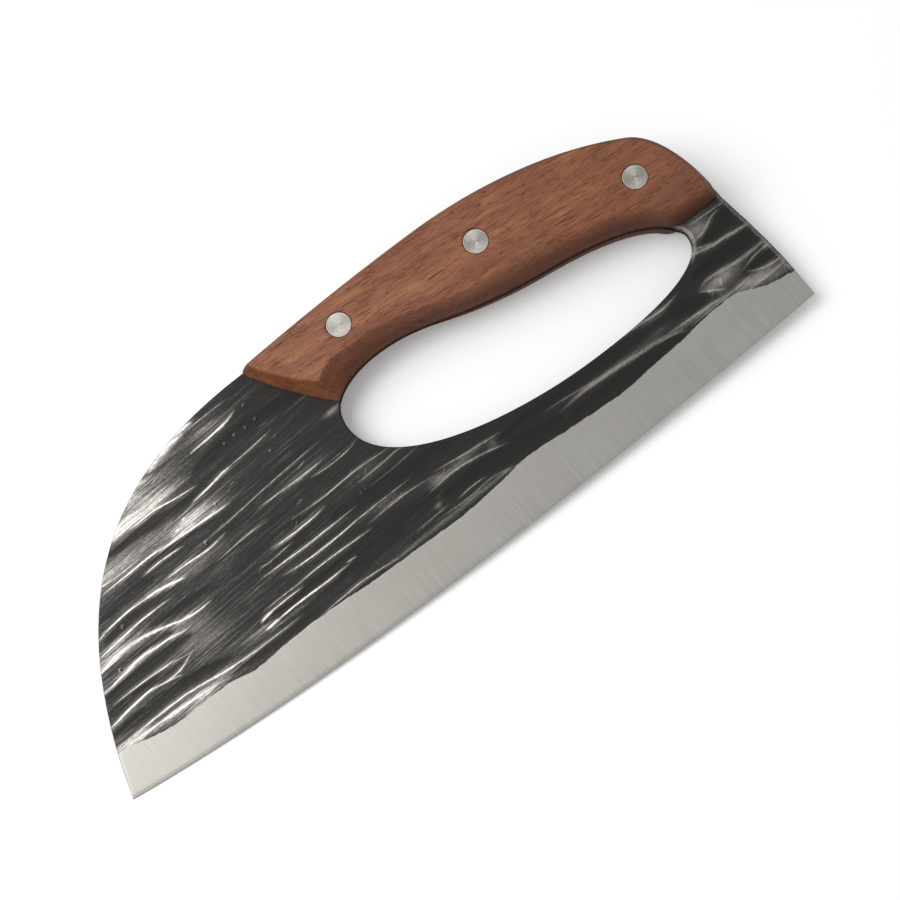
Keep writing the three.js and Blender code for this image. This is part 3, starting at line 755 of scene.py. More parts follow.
def rim(points, distances, line_track):
    """Quarter round, wall, quarter round, between the two faces' boundary points along an outline."""
    x, y = points.T
    outward = -at(line_track, distances)[..., 2:]
    radius = rim_of(x, y)
    if line_track is outer:
        radius = np.where(np.isclose(distances, 0) | np.isclose(distances, heel), 0, radius)
    angle = np.linspace(0, np.pi / 2, RIM_STEPS + 1)[:, None]
    reach = (radius * np.sin(angle))[..., None] * outward
    drop = radius * (1 - np.cos(angle))
    front = raised(points + reach, face_height(x, y, True) - drop)
    back = raised(points + reach, drop - face_height(x, y, False))
    return np.concatenate([front, back[::-1]])


outer_distances = np.concatenate([
    nose_turn * side_rows[:-1],
    nose_over[:-1],
    tang_over[:-1],
    (rear_of_foot + (rear_turn - rear_of_foot) * tang_rows[::-1, -1])[:-1],
    heel + (rear_of_foot - heel) * strip_rows[::-1, -1],
])
outer_points = np.vstack([
    nose[:-1, 0], nose[-1, :-1], tang[-1, :-1], tang[::-1, -1][:-1], strip[::-1, -1],
])
hole_distances = np.concatenate([over_hole[:-1], under_hole[::-1]])
first = len(front_points) - 1
hole_points = np.vstack([
    tang[0, first:first + len(over_hole) - 1], strip[-1, first:first + len(under_hole)][::-1],
])
outer_rim = rim(outer_points, outer_distances, outer)
hole_rim = rim(hole_points, hole_distances, hole)
edge_points = np.vstack([nose[0, :-1], strip[0]])
edge_strip = np.stack([raised(edge_points, side * EDGE_THICKNESS / 2) for side in (-1, 1)])
print("rims: %d points round the outline, %d round the hole" % (len(outer_points), len(hole_points)))

# %% [markdown]
# ## Grids into a mesh
# Every patch is a grid of points, so its faces follow from counting. The patches share their boundary
# points exactly, and merging doubles closes the solid. The normals are then recalculated outwards.

# %% Mesh builder
MERGE = 1e-6


def grid_faces(rows, columns, first):
    """Four corners of each cell of a grid whose points are numbered along its rows."""
    corner = np.arange(rows - 1)[:, None] * columns + np.arange(columns - 1)[None] + first
    return np.stack([corner, corner + 1, corner + columns + 1, corner + columns], -1).reshape(-1, 4)


def solid_mesh(name, grids):
    """One closed mesh from grids of points in the flat drawing, laid on the table and merged."""
    points, faces, count = [], [], 0
    for grid in grids:
        rows, columns = grid.shape[:2]
        faces.append(grid_faces(rows, columns, count))
        points.append(lay(grid.reshape(-1, 3)))
        count += rows * columns
    points, faces = np.vstack(points), np.vstack(faces)
    mesh = bpy.data.meshes.new(name)
    mesh.from_pydata(points.tolist(), [], faces.tolist())
    work = bmesh.new()
    work.from_mesh(mesh)
    bmesh.ops.remove_doubles(work, verts=work.verts, dist=MERGE)
    bmesh.ops.dissolve_degenerate(work, edges=work.edges, dist=MERGE / 10)
    bmesh.ops.recalc_face_normals(work, faces=work.faces)
    open_edges = sum(not e.is_manifold for e in work.edges)
    work.to_mesh(mesh)
    work.free()
    mesh.shade_smooth()
    print("%s: %d faces, %d open edges" % (name, len(mesh.polygons), open_edges))
    return mesh


def placed(name, data):
    """A new object in the scene that shows this data."""
    thing = bpy.data.objects.new(name, data)
    bpy.context.scene.collection.objects.link(thing)
    return thing


def new_piece(name, mesh, material, slot, *nodes):
    """Puts a finished mesh into the scene, where it stands for the drawn nodes."""
    piece = placed(name, mesh)
    mesh.materials.append(material)
    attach(piece, "root")
    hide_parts(*nodes)
    return piece


# %% [markdown]
# ## Patterns in the drawing's millimetres
# Hammering and grain run along the knife and not along the table. Object coordinates are the table's,
# so a Mapping node turns and shifts them back into millimetres of the flat drawing. A few formulas
# then serve both the steel and the wood: streaks of noise, sums of patterns by weight, windows that
# open where several values pass a limit, finishes laid over each other, and the distance from the
# nearest of some circles.

# %% Patterns and formulas for materials
back_turn = Matrix(turn.T.tolist()).to_euler()
FAR_AWAY = 1000.0
# How much of each finer octave the noise keeps.
NOISE_ROUGHNESS = 0.55


def drawing_coordinates(node):
    """Object coordinates turned back into the flat drawing: turn, scale to millimetres, shift."""
    place = node("TexCoord", out="Object")
    return node("Mapping", place, (-drawing_origin).tolist(), back_turn, [1 / MM] * 3)


def streaks(node, place, length, spacing, detail, seed, angle):
    """Noise whose streaks have this length and spacing in millimetres, turned by an angle in degrees."""
    level = node("Mapping", place, inputs={"Rotation": (0, 0, np.radians(-angle))})
    squeezed = node("Mapping", level, (seed, seed, seed),
                    inputs={"Scale": (1 / length, 1 / spacing, 1 / spacing)})
    return node("TexNoise", squeezed,
                inputs={"Scale": 1.0, "Detail": detail, "Roughness": NOISE_ROUGHNESS})


def weighted(node, *terms):
    """Sum of values, each times its weight."""
    total = node("MULTIPLY", *terms[0])
    for term in terms[1:]:
        total = node("ADD", total, node("MULTIPLY", *term))
    return total


def within(node, *windows):
    """Product of smooth steps. Each is a value, where it starts and ends, and its strength at both,
    which is 0 and 1 if nothing else is said."""
    whole = node("EASE", *windows[0])
    for window in windows[1:]:
        whole = node("MULTIPLY", whole, node("EASE", *window))
    return whole


def layered(node, colour, *finishes):
    """A colour under finishes, each the share of the surface that it covers and its own colour."""
    for share, finish in finishes:
        colour = node("BLEND", share, inputs={6: colour, 7: finish}, out=2)
    return colour


def radii_away(node, place, circles, shift=0.0):
    """Distance from the nearest circle's centre over its radius. A shift moves the circles that many
    millimetres to the nose and to the spine."""
    flat = node("VectorMath", place, (1, 1, 0), (shift, -shift, 0), operation="MULTIPLY_ADD")
    closest = FAR_AWAY
    for x, y, radius in circles:
        away = node("VectorMath", flat, (x, y, 0), operation="DISTANCE", out="Value")
        closest = node("MINIMUM", closest, node("DIVIDE", away, radius))
    return closest


# %% [markdown]
# ## Forged and ground carbon steel
# The plate is high-carbon steel. Forge scale is a thin, hard, nearly black oxide with a dull gloss.
# The belt bares bright steel on the ridges, in fine lines along the blade. The flat bevel is ground
# across the edge on a wheel, so its fine lines stand square to it and it looks satin. The field bared
# and the distance over the wavy line were stored on the mesh, and noise in the drawing's millimetres
# breaks their borders up. The belt's lines are drawn 0.26 to 1.3 mm apart, coarser than a real belt's,
# because finer ones would not show. Pits are dark, with a painted highlight, a lighter crescent, on
# the side of the nose.
# Oxide brightens less than bare metal when it is seen at a low angle, so its edge tint is darker, and
# the tang's rim between the scales is coloured dark brown.

# %% Steel material
# Length, spacing, detail, seed and angle of each streaky pattern, in millimetres and degrees.
STEEL_PATTERNS = {
    "broad": (26, 2.6, 2, 2, 4), "belt": (22, 0.55, 2, 0, 4), "hairs": (14, 0.26, 1, 3, 4),
    "scratch": (34, 1.3, 1, 5, 4.6), "fine": (12, 0.4, 2, 21, 4), "grains": (1.1, 0.5, 3, 9, 0),
    "wobble": (6, 1.6, 2, 11, 4), "hatch": (2.6, 0.45, 2, 15, 16), "ragged": (3, 0.5, 3, 5, 0),
    "across": (0.36, 22, 2, 7, 3), "long_lines": (1.6, 60, 1, 9, 3), "clouds": (30, 14, 2, 13, 3),
}
# Between which of its values a pattern rises, and its strength at both.
STEEL_LEVELS = {
    "belt": (0.46, 0.74), "hairs": (0.5, 0.74), "broad": (0.36, 0.64, 0.5, 1.2),
    "hatch": (0.3, 0.6, 0.6, 1.0), "grains": (0.3, 0.7, 0.85, 1.15),
}
# A scratch runs where its noise crosses the middle, and this is how far from it the scratch reaches.
SCRATCH_REACH = 0.02
# Between which wear or grinding the roughness changes, and its values there.
SCALE_ROUGHNESS, SATIN_ROUGHNESS = (0.05, 0.6, 0.58, 0.34), (0.3, 0.7, 0.31, 0.36)
SCALE_COLOURS = [(0, "#272625"), (0.1, "#323130"), (0.3, "#5a5855"), (0.55, "#898682"), (1, "#bdbab5")]
SATIN_COLOURS = [(0.35, "#8c8a84"), (0.65, "#979590")]
# Dark brown of the tang's rim between the scales.
TANG_RIM_BROWN = "#5e3f31"
OXIDE_TINT = "#5a5a5a"
# Where a finish starts and is full, in millimetres of the drawing, and its strength at both.
BRUSHING_FADE = (100, 150, 1.0, 0.22)
TANG_RIM_FRONT = (119, 124, 0.0, 0.85)
TANG_RIM_LOW, TANG_RIM_HIGH = (43, 46), (69, 66)
# The same over a ridge's or a pit's middle, in half widths and radii.
RIDGE_CORE, RIDGE_FLANK = (0.72, 0.1), (2.2, 0.2, 0.0, 0.3)
PIT_FLOOR, PIT_RIM, PIT_HIGHLIGHT = (1.0, 0.4), (0.8, 1.1), (1.6, 1.0, 0.0, 0.2)
# How far a pit's painted highlight lies from it to the nose and to the spine.
PIT_HIGHLIGHT_SHIFT = 0.35
# Height over the wavy line where scale starts and is whole, before noise makes it ragged.
BORDER = (-0.12, 0.12)
STEEL_RELIEF = 0.06 * MM


def ridge_lines(node, wobble, streaky):
    """Brightest of the three layers: a thin bared core with a soft, streaky flank."""
    aways, shines = (node("SeparateXYZ", node("Attribute", attribute_name=name, out="Vector"), out=None)
                     for name in ("ridge_away", "ridge_shine"))
    brightest = 0.0
    for away, shine in zip(aways, shines):
        distance = node("ABSOLUTE", node("ADD", away, wobble))
        flank = node("MULTIPLY", node("EASE", distance, *RIDGE_FLANK), streaky)
        line = node("MAXIMUM", node("EASE", distance, *RIDGE_CORE), flank)
        brightest = node("MAXIMUM", brightest, node("MULTIPLY", line, shine))
    return brightest


def forged_steel():
    """High-carbon steel, forged and part ground: dark gloss, bright ridges and a satin bevel."""
    material, node = new_material("forged_carbon_steel")
    place = drawing_coordinates(node)
    x, y, _ = node("SeparateXYZ", place, out=None)
    bare, over = (node("Attribute", attribute_name=name, out="Fac") for name in ("bared", "over_bevel"))
    noise = {name: streaks(node, place, *sizes) for name, sizes in STEEL_PATTERNS.items()}

    def centred(name, amount):
        """A pattern moved to lie round zero and scaled."""
        return node("MULTIPLY", node("SUBTRACT", noise[name], 0.5), amount)

    def risen(name):
        """A pattern between its two levels."""
        return node("EASE", noise[name], *STEEL_LEVELS[name])

    # The belt's lines: streaks, hairs and thin scratches, stronger where more steel is bare.
    belt = risen("belt")
    scratches = node("EASE", node("ABSOLUTE", centred("scratch", 1.0)), SCRATCH_REACH, 0.0)
    lines = weighted(node, (belt, 0.45), (risen("hairs"), 0.4), (scratches, 0.4))
    lines = node("MULTIPLY", lines, risen("broad"))
    strength = node("MULTIPLY", node("ADD", bare, 0.1), node("EASE", x, *BRUSHING_FADE))
    brushed = node("MULTIPLY", node("ADD", lines, centred("fine", 0.8)), strength)

    # Ridges, whose place wobbles a little and whose light flickers, and pits.
    wobble = node("ADD", centred("wobble", 0.5), centred("grains", 0.5))
    ridges = ridge_lines(node, wobble, node("ADD", belt, 0.3))
    ridges = node("MULTIPLY", ridges, risen("hatch"))
    from_pit = radii_away(node, place, PITS)
    pits = node("EASE", from_pit, *PIT_FLOOR)
    # A lighter crescent beside each pit, towards the nose and the spine, is a painted highlight.
    pit_highlights = within(node, (radii_away(node, place, PITS, PIT_HIGHLIGHT_SHIFT), *PIT_HIGHLIGHT), (from_pit, *PIT_RIM))

    # How much bright steel shows, plus the pits' painted highlights, which sets the forged face's colour
    # and gloss.
    wear_and_highlights = node("ADD", node("MULTIPLY", bare, 0.6), brushed)
    wear_and_highlights = node("MULTIPLY", wear_and_highlights, risen("grains"))
    wear_and_highlights = node("ADD", node("ADD", wear_and_highlights, node("MULTIPLY", ridges, 0.68)), pit_highlights)
    wear_and_highlights = node("MULTIPLY", wear_and_highlights, node("SUBTRACT", 1.0, pits))
    scale_colour = node("ValToRGB", node("ADD", wear_and_highlights, centred("grains", 0.05)), stops=SCALE_COLOURS)
    scale_rough = node("EASE", wear_and_highlights, *SCALE_ROUGHNESS)

    # The ground bevel, and the ragged border between the two.
    ground = weighted(node, (noise["across"], 0.55), (noise["long_lines"], 0.2), (noise["clouds"], 0.25))
    satin_colour = node("ValToRGB", ground, stops=SATIN_COLOURS)
    satin_rough = node("EASE", ground, *SATIN_ROUGHNESS)
    is_scale = node("EASE", node("ADD", over, centred("ragged", 0.9)), *BORDER)
    is_satin = node("SUBTRACT", 1.0, is_scale)
    # The tang's rim between the scales is coloured dark brown.
    tang_rim = within(node, (x, *TANG_RIM_FRONT), (y, *TANG_RIM_LOW), (y, *TANG_RIM_HIGH))
    relief = weighted(node, (brushed, 0.8), (ridges, 0.5), (pits, -4.0))
    relief = node("ADD", relief, centred("grains", 0.25))
    height = weighted(node, (relief, is_scale), (centred("across", 0.16), is_satin))
    steel = node("BsdfPrincipled", inputs={
        "Metallic": 1.0,
        "Base Color": layered(node, satin_colour, (is_scale, scale_colour), (tang_rim, TANG_RIM_BROWN)),
        "Roughness": weighted(node, (scale_rough, is_scale), (satin_rough, is_satin)),
        "Specular Tint": layered(node, "#ffffff", (is_scale, OXIDE_TINT)),
        "Normal": node("Bump", inputs={"Strength": 0.6, "Distance": STEEL_RELIEF, "Height": height}),
    })
    node("OutputMaterial", steel, out=None)
    return material


steel = forged_steel()
print("material:", steel.name, "with", len(steel.node_tree.nodes), "nodes")

# %% [markdown]
# ## The blade
# The tang has three holes that take the rivets' tubes. They are cut with a Boolean modifier after the
# patches are closed. The fields are stored last, from where each vertex ended up, so the cut cannot
# disturb them.

# %% Blade piece
TUBE_DIAMETER = 4.6
RIVET_PLAY = 0.1
ROUND_STEPS = 96
TANG_HOLE_STEPS = 48


def face_grid(patch, front):
    """A face patch with its heights: on the front it stands out, on the back it is turned over."""
    x, y = patch[..., 0], patch[..., 1]
    height = face_height(x, y, front)
    return raised(patch, height) if front else raised(patch, -height)[:, ::-1]


def turned(profile, centre, steps=ROUND_STEPS):
    """Surface of revolution: rows of radius and height carried round a centre in the flat drawing."""
    radius, height = np.array(profile, float).T
    angle = np.linspace(0, 2 * np.pi, steps + 1)
    x = centre[0] + radius[:, None] * np.cos(angle)
    y = centre[1] + radius[:, None] * np.sin(angle)
    return np.stack([x, y, np.broadcast_to(height[:, None], x.shape)], -1)


def cut(piece, cutters):
    """Takes cutters, each a closed grid, out of a piece and applies the cut."""
    tools = placed("cutters", solid_mesh("cutters", cutters))
    boolean = piece.modifiers.new("holes", "BOOLEAN")
    boolean.operation = "DIFFERENCE"
    boolean.object = tools
    boolean.solver = "EXACT"
    shaped = bpy.data.meshes.new_from_object(piece.evaluated_get(bpy.context.evaluated_depsgraph_get()))
    piece.modifiers.clear()
    shaped.name = piece.name
    piece.data = shaped
    bpy.data.objects.remove(tools)
    print("%s: %d faces after the cut" % (piece.name, len(shaped.polygons)))


def store(mesh, name, values):
    """Keeps one number or three for each vertex, for a material to read."""
    kind, field = ("FLOAT", "value") if values.ndim == 1 else ("FLOAT_VECTOR", "vector")
    mesh.attributes.new(name, kind, "POINT").data.foreach_set(field, values.ravel().astype(np.float32))


blade_grids = [face_grid(p, front) for p in (nose, strip, tang) for front in (True, False)]
blade_mesh = solid_mesh("forged_blade", blade_grids + [outer_rim, hole_rim, edge_strip])
blade = new_piece("forged_blade", blade_mesh, steel, "forged_steel", "blade")
tube_hole = TUBE_DIAMETER / 2 + RIVET_PLAY
through_tang = [(0, -BLADE_THICKNESS), (tube_hole, -BLADE_THICKNESS),
                (tube_hole, BLADE_THICKNESS), (0, BLADE_THICKNESS)]
cut(blade, [turned(through_tang, centre, TANG_HOLE_STEPS) for centre in rivet_centres.values()])

places = drawn(blade.data)
pattern_x = np.where(places[:, 2] > 0, places[:, 0], EDGE_LENGTH - places[:, 0])
store(blade.data, "bared", bared(pattern_x, places[:, 1]))
store(blade.data, "over_bevel", over_bevel(pattern_x, places[:, 1]))
away, shine = stroke_layers(pattern_x, places[:, 1])
store(blade.data, "ridge_away", away)
store(blade.data, "ridge_shine", shine)

# %% [markdown]
# ## The scales' shape
# Each scale is sawn to the tang's outline and worked with a file: a flat bevel over the front end, a
# facet along the fingers that turns into a soft roll towards the rear, and a roll along the spine
# that widens over its crest. Its outline has eight corners. At each one the outer face is drawn in
# from the foot by a bevel width, and a share of roundness bends the straight slope into a quarter of
# an ellipse.

# %% Outlines of a scale's foot and face
FRONT_BEVEL = 3.8
FINGER_BEVEL = 4.6
SPINE_ROUND = 1.2
SPINE_CREST_ROUND = 2.4
BACK_REAR_BEVEL = 1.8
FRONT_END_SHARES = [[0.412, 0.871], [0.444, 0.753]]
REAR_FOOT_SHARES = [[0.938, 0.467], [0.96, 0.464], [0.983, 0.472]]
INSET_SHARES = [
    [1, -1], [-0.3, 1.5], [-0.8, 1], [-0.3, 0.87], [-0.2, 1.1], [-0.65, 1.05], [-0.6, -0.8], [0, -1],
]
ROUND_SHARES = [0.7, 0, 0.1, 0.2, 0.8, 1, 1, 1]


def bevels_of(rear_bevel):
    """Bevel widths along x and y at the eight corners, of which three lie at the rear."""
    widths = [FINGER_BEVEL] * 2 + [rear_bevel] * 3 + [SPINE_ROUND, SPINE_CREST_ROUND]
    return np.array([[FRONT_BEVEL, SPINE_ROUND]] + [[width, width] for width in widths])


# Points on the eight curves between the corners; the ends match, and so do the two long sides.
END_POINTS = 44
CURVE_POINTS = [END_POINTS, 28, 75, 47, END_POINTS, 28, 63, 59]
SIDE_POINTS = sum(CURVE_POINTS[1:4])
CORNERS = np.concatenate([[0], np.cumsum(CURVE_POINTS)])
# Radii that the file left at the corners: spine front, finger front, finger rear and rear foot.
CORNER_RADII = {0: 1.1, 1: 0.6, 4: 3.0, 5: 2.6}

scale_size = [EDGE_LENGTH, SPINE_HEIGHT]
foot_net = np.vstack([
    outer_net[3:4], np.array(FRONT_END_SHARES) * scale_size,
    hole_net[3:13], np.array(REAR_FOOT_SHARES) * scale_size,
    outer_net[3:12][::-1],
])


def ring_of(net):
    """A closed ring of points: every curve of the chain in its own number of even steps."""
    return np.vstack([
        cubic(net[3 * i:3 * i + 4], np.linspace(0, 1, count, endpoint=False))
        for i, count in enumerate(CURVE_POINTS)
    ])


def rounded(ring):
    """Corners of a ring turned into parabolas that start and end a radius away from them."""
    *so_far, whole = lengths(np.vstack([ring, ring[:1]]))
    so_far = np.array(so_far)
    result = ring.copy()
    for corner, radius in CORNER_RADII.items():
        here = so_far[CORNERS[corner]]
        away = (so_far - here + whole / 2) % whole - whole / 2
        ends = [np.stack([np.interp(here + side, so_far, c, period=whole) for c in ring.T], -1)
                for side in (-radius, radius)]
        t = ((away + radius) / (2 * radius))[:, None]
        bend = (1 - t) ** 2 * ends[0] + 2 * t * (1 - t) * ring[CORNERS[corner]] + t * t * ends[1]
        result = np.where(np.abs(away)[:, None] < radius, bend, result)
    return result


def ring_inward(ring):
    """Unit normals that look into a counter-clockwise ring."""
    way = np.roll(ring, -1, 0) - np.roll(ring, 1, 0)
    way /= np.hypot(*way.T)[:, None]
    return np.stack([-way[:, 1], way[:, 0]], 1)


# %% [markdown]
# ## A scale as rows of rings
# The wall is rings stacked from foot to face. Where it meets the outer face, a parabola 0.35 mm long
# takes the sharpness off, as sanding does. The face itself is one patch between its four sides, and
# sanding leaves it a few hundredths of a millimetre uneven.

# %% Scale grids
EDGE_SOFT = 0.35
WALL_ROWS = 14
SOFT_ROWS = 6
SANDED = 0.05
# Length of the unevenness along and across the handle, and its seed.
SANDING = (17, 8, 11)


def side_of(line):
    """A side's points as a function of a share."""
    places = np.linspace(0, 1, len(line))
    return lambda share: np.stack([np.interp(share, places, column) for column in line.T], -1)


def cap(ring):
    """Patch between a ring's finger side, its spine side and its two ends."""
    closed = np.vstack([ring, ring[:1]])
    finger, spine = closed[CORNERS[1]:CORNERS[4] + 1], closed[CORNERS[5]:][::-1]
    front, rear = closed[:CORNERS[1] + 1][::-1], closed[CORNERS[4]:CORNERS[5] + 1]
    rows = np.linspace(0, 1, END_POINTS + 1)[:, None] * np.ones((1, SIDE_POINTS + 1))
    return filled(finger, spine, side_of(front), side_of(rear), rows)


def scale_grids(rear_bevel):
    """Wall, outer face and foot of a scale lying on the front of the tang."""
    nearest = np.rint(np.arange(len(foot_net)) / 3).astype(int) % len(INSET_SHARES)
    face_net = foot_net + np.array(INSET_SHARES)[nearest] * bevels_of(rear_bevel)[nearest]
    foot, face = rounded(ring_of(foot_net)), rounded(ring_of(face_net))
    share = np.concatenate([np.linspace(0, 1, n, endpoint=False) for n in CURVE_POINTS])
    curve = np.repeat(np.arange(len(CURVE_POINTS)), CURVE_POINTS)
    round_shares = np.array(ROUND_SHARES + ROUND_SHARES[:1])
    roundness = round_shares[curve] * (1 - share) + round_shares[curve + 1] * share
    low, high = BLADE_THICKNESS / 2, HANDLE_THICKNESS / 2

    def wall(level):
        """Ring at a level from 0 at the foot to 1 at the face, between a slope and an ellipse."""
        drawn_in = level * (1 - roundness) + (1 - np.sqrt(1 - level ** 2)) * roundness
        return raised(foot + (face - foot) * drawn_in[:, None], low + level * (high - low))

    levels = np.sin(np.linspace(0, np.arcsin(1 - EDGE_SOFT / (high - low)), WALL_ROWS))
    walls = [wall(level) for level in levels]
    inner = raised(face + EDGE_SOFT * ring_inward(face), high)
    walls += [(1 - t) ** 2 * walls[WALL_ROWS - 1] + 2 * t * (1 - t) * wall(1.0) + t * t * inner
              for t in np.linspace(0, 1, SOFT_ROWS + 1)[1:]]
    wall_grid = np.stack(walls)
    grids = [
        np.concatenate([wall_grid, wall_grid[:, :1]], 1),
        raised(cap(wall_grid[-1, :, :2]), high),
        raised(cap(foot), low),
    ]
    for grid in grids:
        lift = (grid[..., 2] - low) / (high - low)
        grid[..., 2] += SANDED * smooth_noise(grid[..., 0], grid[..., 1], *SANDING) * lift
    return grids


# %% [markdown]
# ## Oiled rosewood
# The scales are a reddish rosewood, sawn along the grain, sanded and oiled. Open pores show as dark
# dashes along the grain, growth rings as broad bands of lighter and darker brown, and fine fibres as
# a faint streak. Because the pattern fills space, the front bevel cuts across it and shows the pores'
# ends. Pores are 0.25 to 0.3 mm wide and 3 to 9 mm long. The tone is painted a little lighter at the
# front and darker towards the rear, as shade where the lamp's light falls off, and drifts a little
# darker towards the finger side. Oil leaves a low soft gloss, a little rougher in the pores and low on
# the sides. Shade is painted low on the front scale's walls, on the back scale's walls and as a dark
# line round each rivet. The front of the finger bevel shows the file's teeth, and along the spine a
# thin band is darker grey.

# %% Wood material
GRAIN_ANGLE = -5.0
HEAD_DIAMETER = 8.0
# Width and strength of a ring of painted shade round each rivet head.
RIVET_SHADE_WIDTH = 0.22
RIVET_SHADE_STRENGTH = 0.5
# Length, spacing, detail and seed of each pattern along the grain, and the same with the file's angle.
WOOD_PATTERNS = {
    "bands": (90, 2.6, 2, 0), "fibres": (9, 0.3, 3, 2), "mottle": (9, 3.5, 3, 6), "patches": (38, 16, 1, 12),
    "short_pores": (3, 0.25, 1, 4), "long_pores": (9, 0.3, 1, 9), "crowded": (16, 3, 1, 8),
}
FILE_TEETH = (5, 0.32, 1, 3, 78)
# Between which of its values a pattern rises, and its strength or the roughness at both.
SHORT_PORES, LONG_PORES, TEETH_MARKS = (0.68, 0.8), (0.7, 0.8), (0.42, 0.58, 0.0, 0.55)
WOOD_ROUGHNESS = (0.0, 1.0, 0.5, 0.7)
# How slowly the grain sways, and by how many millimetres along, across and through the handle.
SWAY_SCALE = 0.02
SWAY = (0.0, 3.5, 3.0)
WOOD_COLOURS = [(0.38, "#68371e"), (0.47, "#784427"), (0.54, "#865032"), (0.62, "#98653c")]
# The second brown paints shade and the file's marks, and the grey is the thin band along the spine.
PORE_BROWN, SHADE_AND_FILE_BROWN, SPINE_LINE_GREY = "#3f1b0c", "#3a190a", "#2e2b27"
# Where a drift, a painted shade or a mark starts and ends, in millimetres of the drawing, and its
# strength at both.
PAINTED_FALLOFF_ALONG, DRIFT_ACROSS = (110, 250, 0.02, -0.03), (58, 78, -0.03, 0.0)
SPINE_LINE_OUTER, SPINE_LINE_INNER = (0.4, 0.7), (1.9, 1.3, 0.0, 0.6)
LOW_SIDE, FRONT_HALF, PAINTED_SHADE_FRONT = (9.4, 4.2, 0.0, 0.6), (-0.5, 0.5), (117, 127)
BACK_HALF, BACK_FACE = (0.0, -1.5), (-9.4, -8.4)
FILED_DEPTH, FILED_FRONT, FILED_REAR = (9.35, 9.1), (116.5, 118.5), (130, 125)
WOOD_RELIEF = 0.12 * MM


def rosewood():
    """Oiled rosewood: bands, fibres and dark pores along the handle."""
    material, node = new_material("oiled_rosewood")
    place = drawing_coordinates(node)
    x, y, z = node("SeparateXYZ", place, out=None)
    sway = node("TexNoise", place, inputs={"Scale": SWAY_SCALE, "Detail": 1.0}, out="Color")
    bent = node("VectorMath", sway, SWAY, place, operation="MULTIPLY_ADD")
    noise = {name: streaks(node, bent, *sizes, GRAIN_ANGLE) for name, sizes in WOOD_PATTERNS.items()}

    tone = weighted(node, (noise["bands"], 0.28), (noise["fibres"], 0.3), (noise["mottle"], 0.22),
                    (noise["patches"], 0.2))
    # The tone is painted lighter at the front and darker at the rear, as shade where the lamp's light falls
    # off; across the handle it drifts darker towards the finger side.
    for drift in ((x, *PAINTED_FALLOFF_ALONG), (y, *DRIFT_ACROSS)):
        tone = node("ADD", tone, node("MapRange", *drift))
    crowded = node("MULTIPLY", noise["crowded"], 0.16)
    pores = node("MAXIMUM", node("EASE", node("ADD", noise["short_pores"], crowded), *SHORT_PORES),
                 node("EASE", node("ADD", noise["long_pores"], crowded), *LONG_PORES))

    # Painted shade low on the walls and round the rivets, the file's marks and a dark band along the spine.
    from_rim = node("Attribute", attribute_name="from_spine", out="Fac")
    # A thin band 0.4 to 1.9 mm in from the spine's rim is darkened grey.
    spine_line = within(node, (from_rim, *SPINE_LINE_OUTER), (from_rim, *SPINE_LINE_INNER))
    # Painted shade: the front scale's walls are darkened low down, and so are the back scale's walls.
    low = node("EASE", z, *LOW_SIDE)
    above = node("MULTIPLY", low, node("EASE", z, *FRONT_HALF))
    painted_shade = node("ADD", within(node, (z, *BACK_HALF), (z, *BACK_FACE)), above)
    painted_shade = node("MULTIPLY", painted_shade, node("EASE", x, *PAINTED_SHADE_FRONT))
    head = HEAD_DIAMETER / 2
    heads = [(*centre, head) for centre in rivet_centres.values()]
    # Painted shade: a dark ring in the wood round each rivet head.
    rivet_shade = node("EASE", radii_away(node, place, heads), 1 + RIVET_SHADE_WIDTH / head, 1.0, 0.0, RIVET_SHADE_STRENGTH)
    filed = within(node, (streaks(node, place, *FILE_TEETH), *TEETH_MARKS), (z, *FILED_DEPTH),
                   (x, *FILED_FRONT), (x, *FILED_REAR))
    shade_and_file_marks = node("MAXIMUM", node("MAXIMUM", painted_shade, rivet_shade), filed)

    rough = node("ADD", node("EASE", pores, *WOOD_ROUGHNESS), node("MULTIPLY", low, 0.4))
    height = weighted(node, (noise["fibres"], 0.5), (pores, -1.0))
    wood = node("BsdfPrincipled", inputs={
        "IOR": 1.45,
        "Base Color": layered(node, node("ValToRGB", tone, stops=WOOD_COLOURS),
                              (node("MULTIPLY", pores, 0.85), PORE_BROWN), (shade_and_file_marks, SHADE_AND_FILE_BROWN),
                              (spine_line, SPINE_LINE_GREY)),
        "Roughness": rough,
        "Normal": node("Bump", inputs={"Strength": 0.6, "Distance": WOOD_RELIEF, "Height": height}),
    })
    node("OutputMaterial", wood, out=None)
    return material


wood = rosewood()
print("material:", wood.name, "with", len(wood.node_tree.nodes), "nodes")

# %% [markdown]
# ## Scale pieces with their rivet holes
# A hole is as wide as the rivet's tube down below and as wide as its head near the face. The back
# scale is drawn on the front and turned over by changing the sign of its heights.

# %% Scale pieces
HEAD_THICKNESS = 1.6
HEAD_DROP = 0.1
HEAD_PLAY = 0.1
CUTTER_OVERRUN = 2.0
HEAD_OUTSIDE = HANDLE_THICKNESS / 2 - HEAD_DROP
HEAD_SEAT = HEAD_OUTSIDE - HEAD_THICKNESS


def turned_over(grids, side):
    """Grids as they are for side 1 and reflected in the blade's middle plane for side -1."""
    return [grid * [1, 1, side] for grid in grids]


def from_spine(mesh):
    """Each vertex's distance from the spine line of the tang, seen from above."""
    over_tang = (outer[:, 0] > spine_at_split) & (outer[:, 0] < rear_of_foot)
    return from_line(drawn(mesh)[:, :2], outer[over_tang, 1:3])


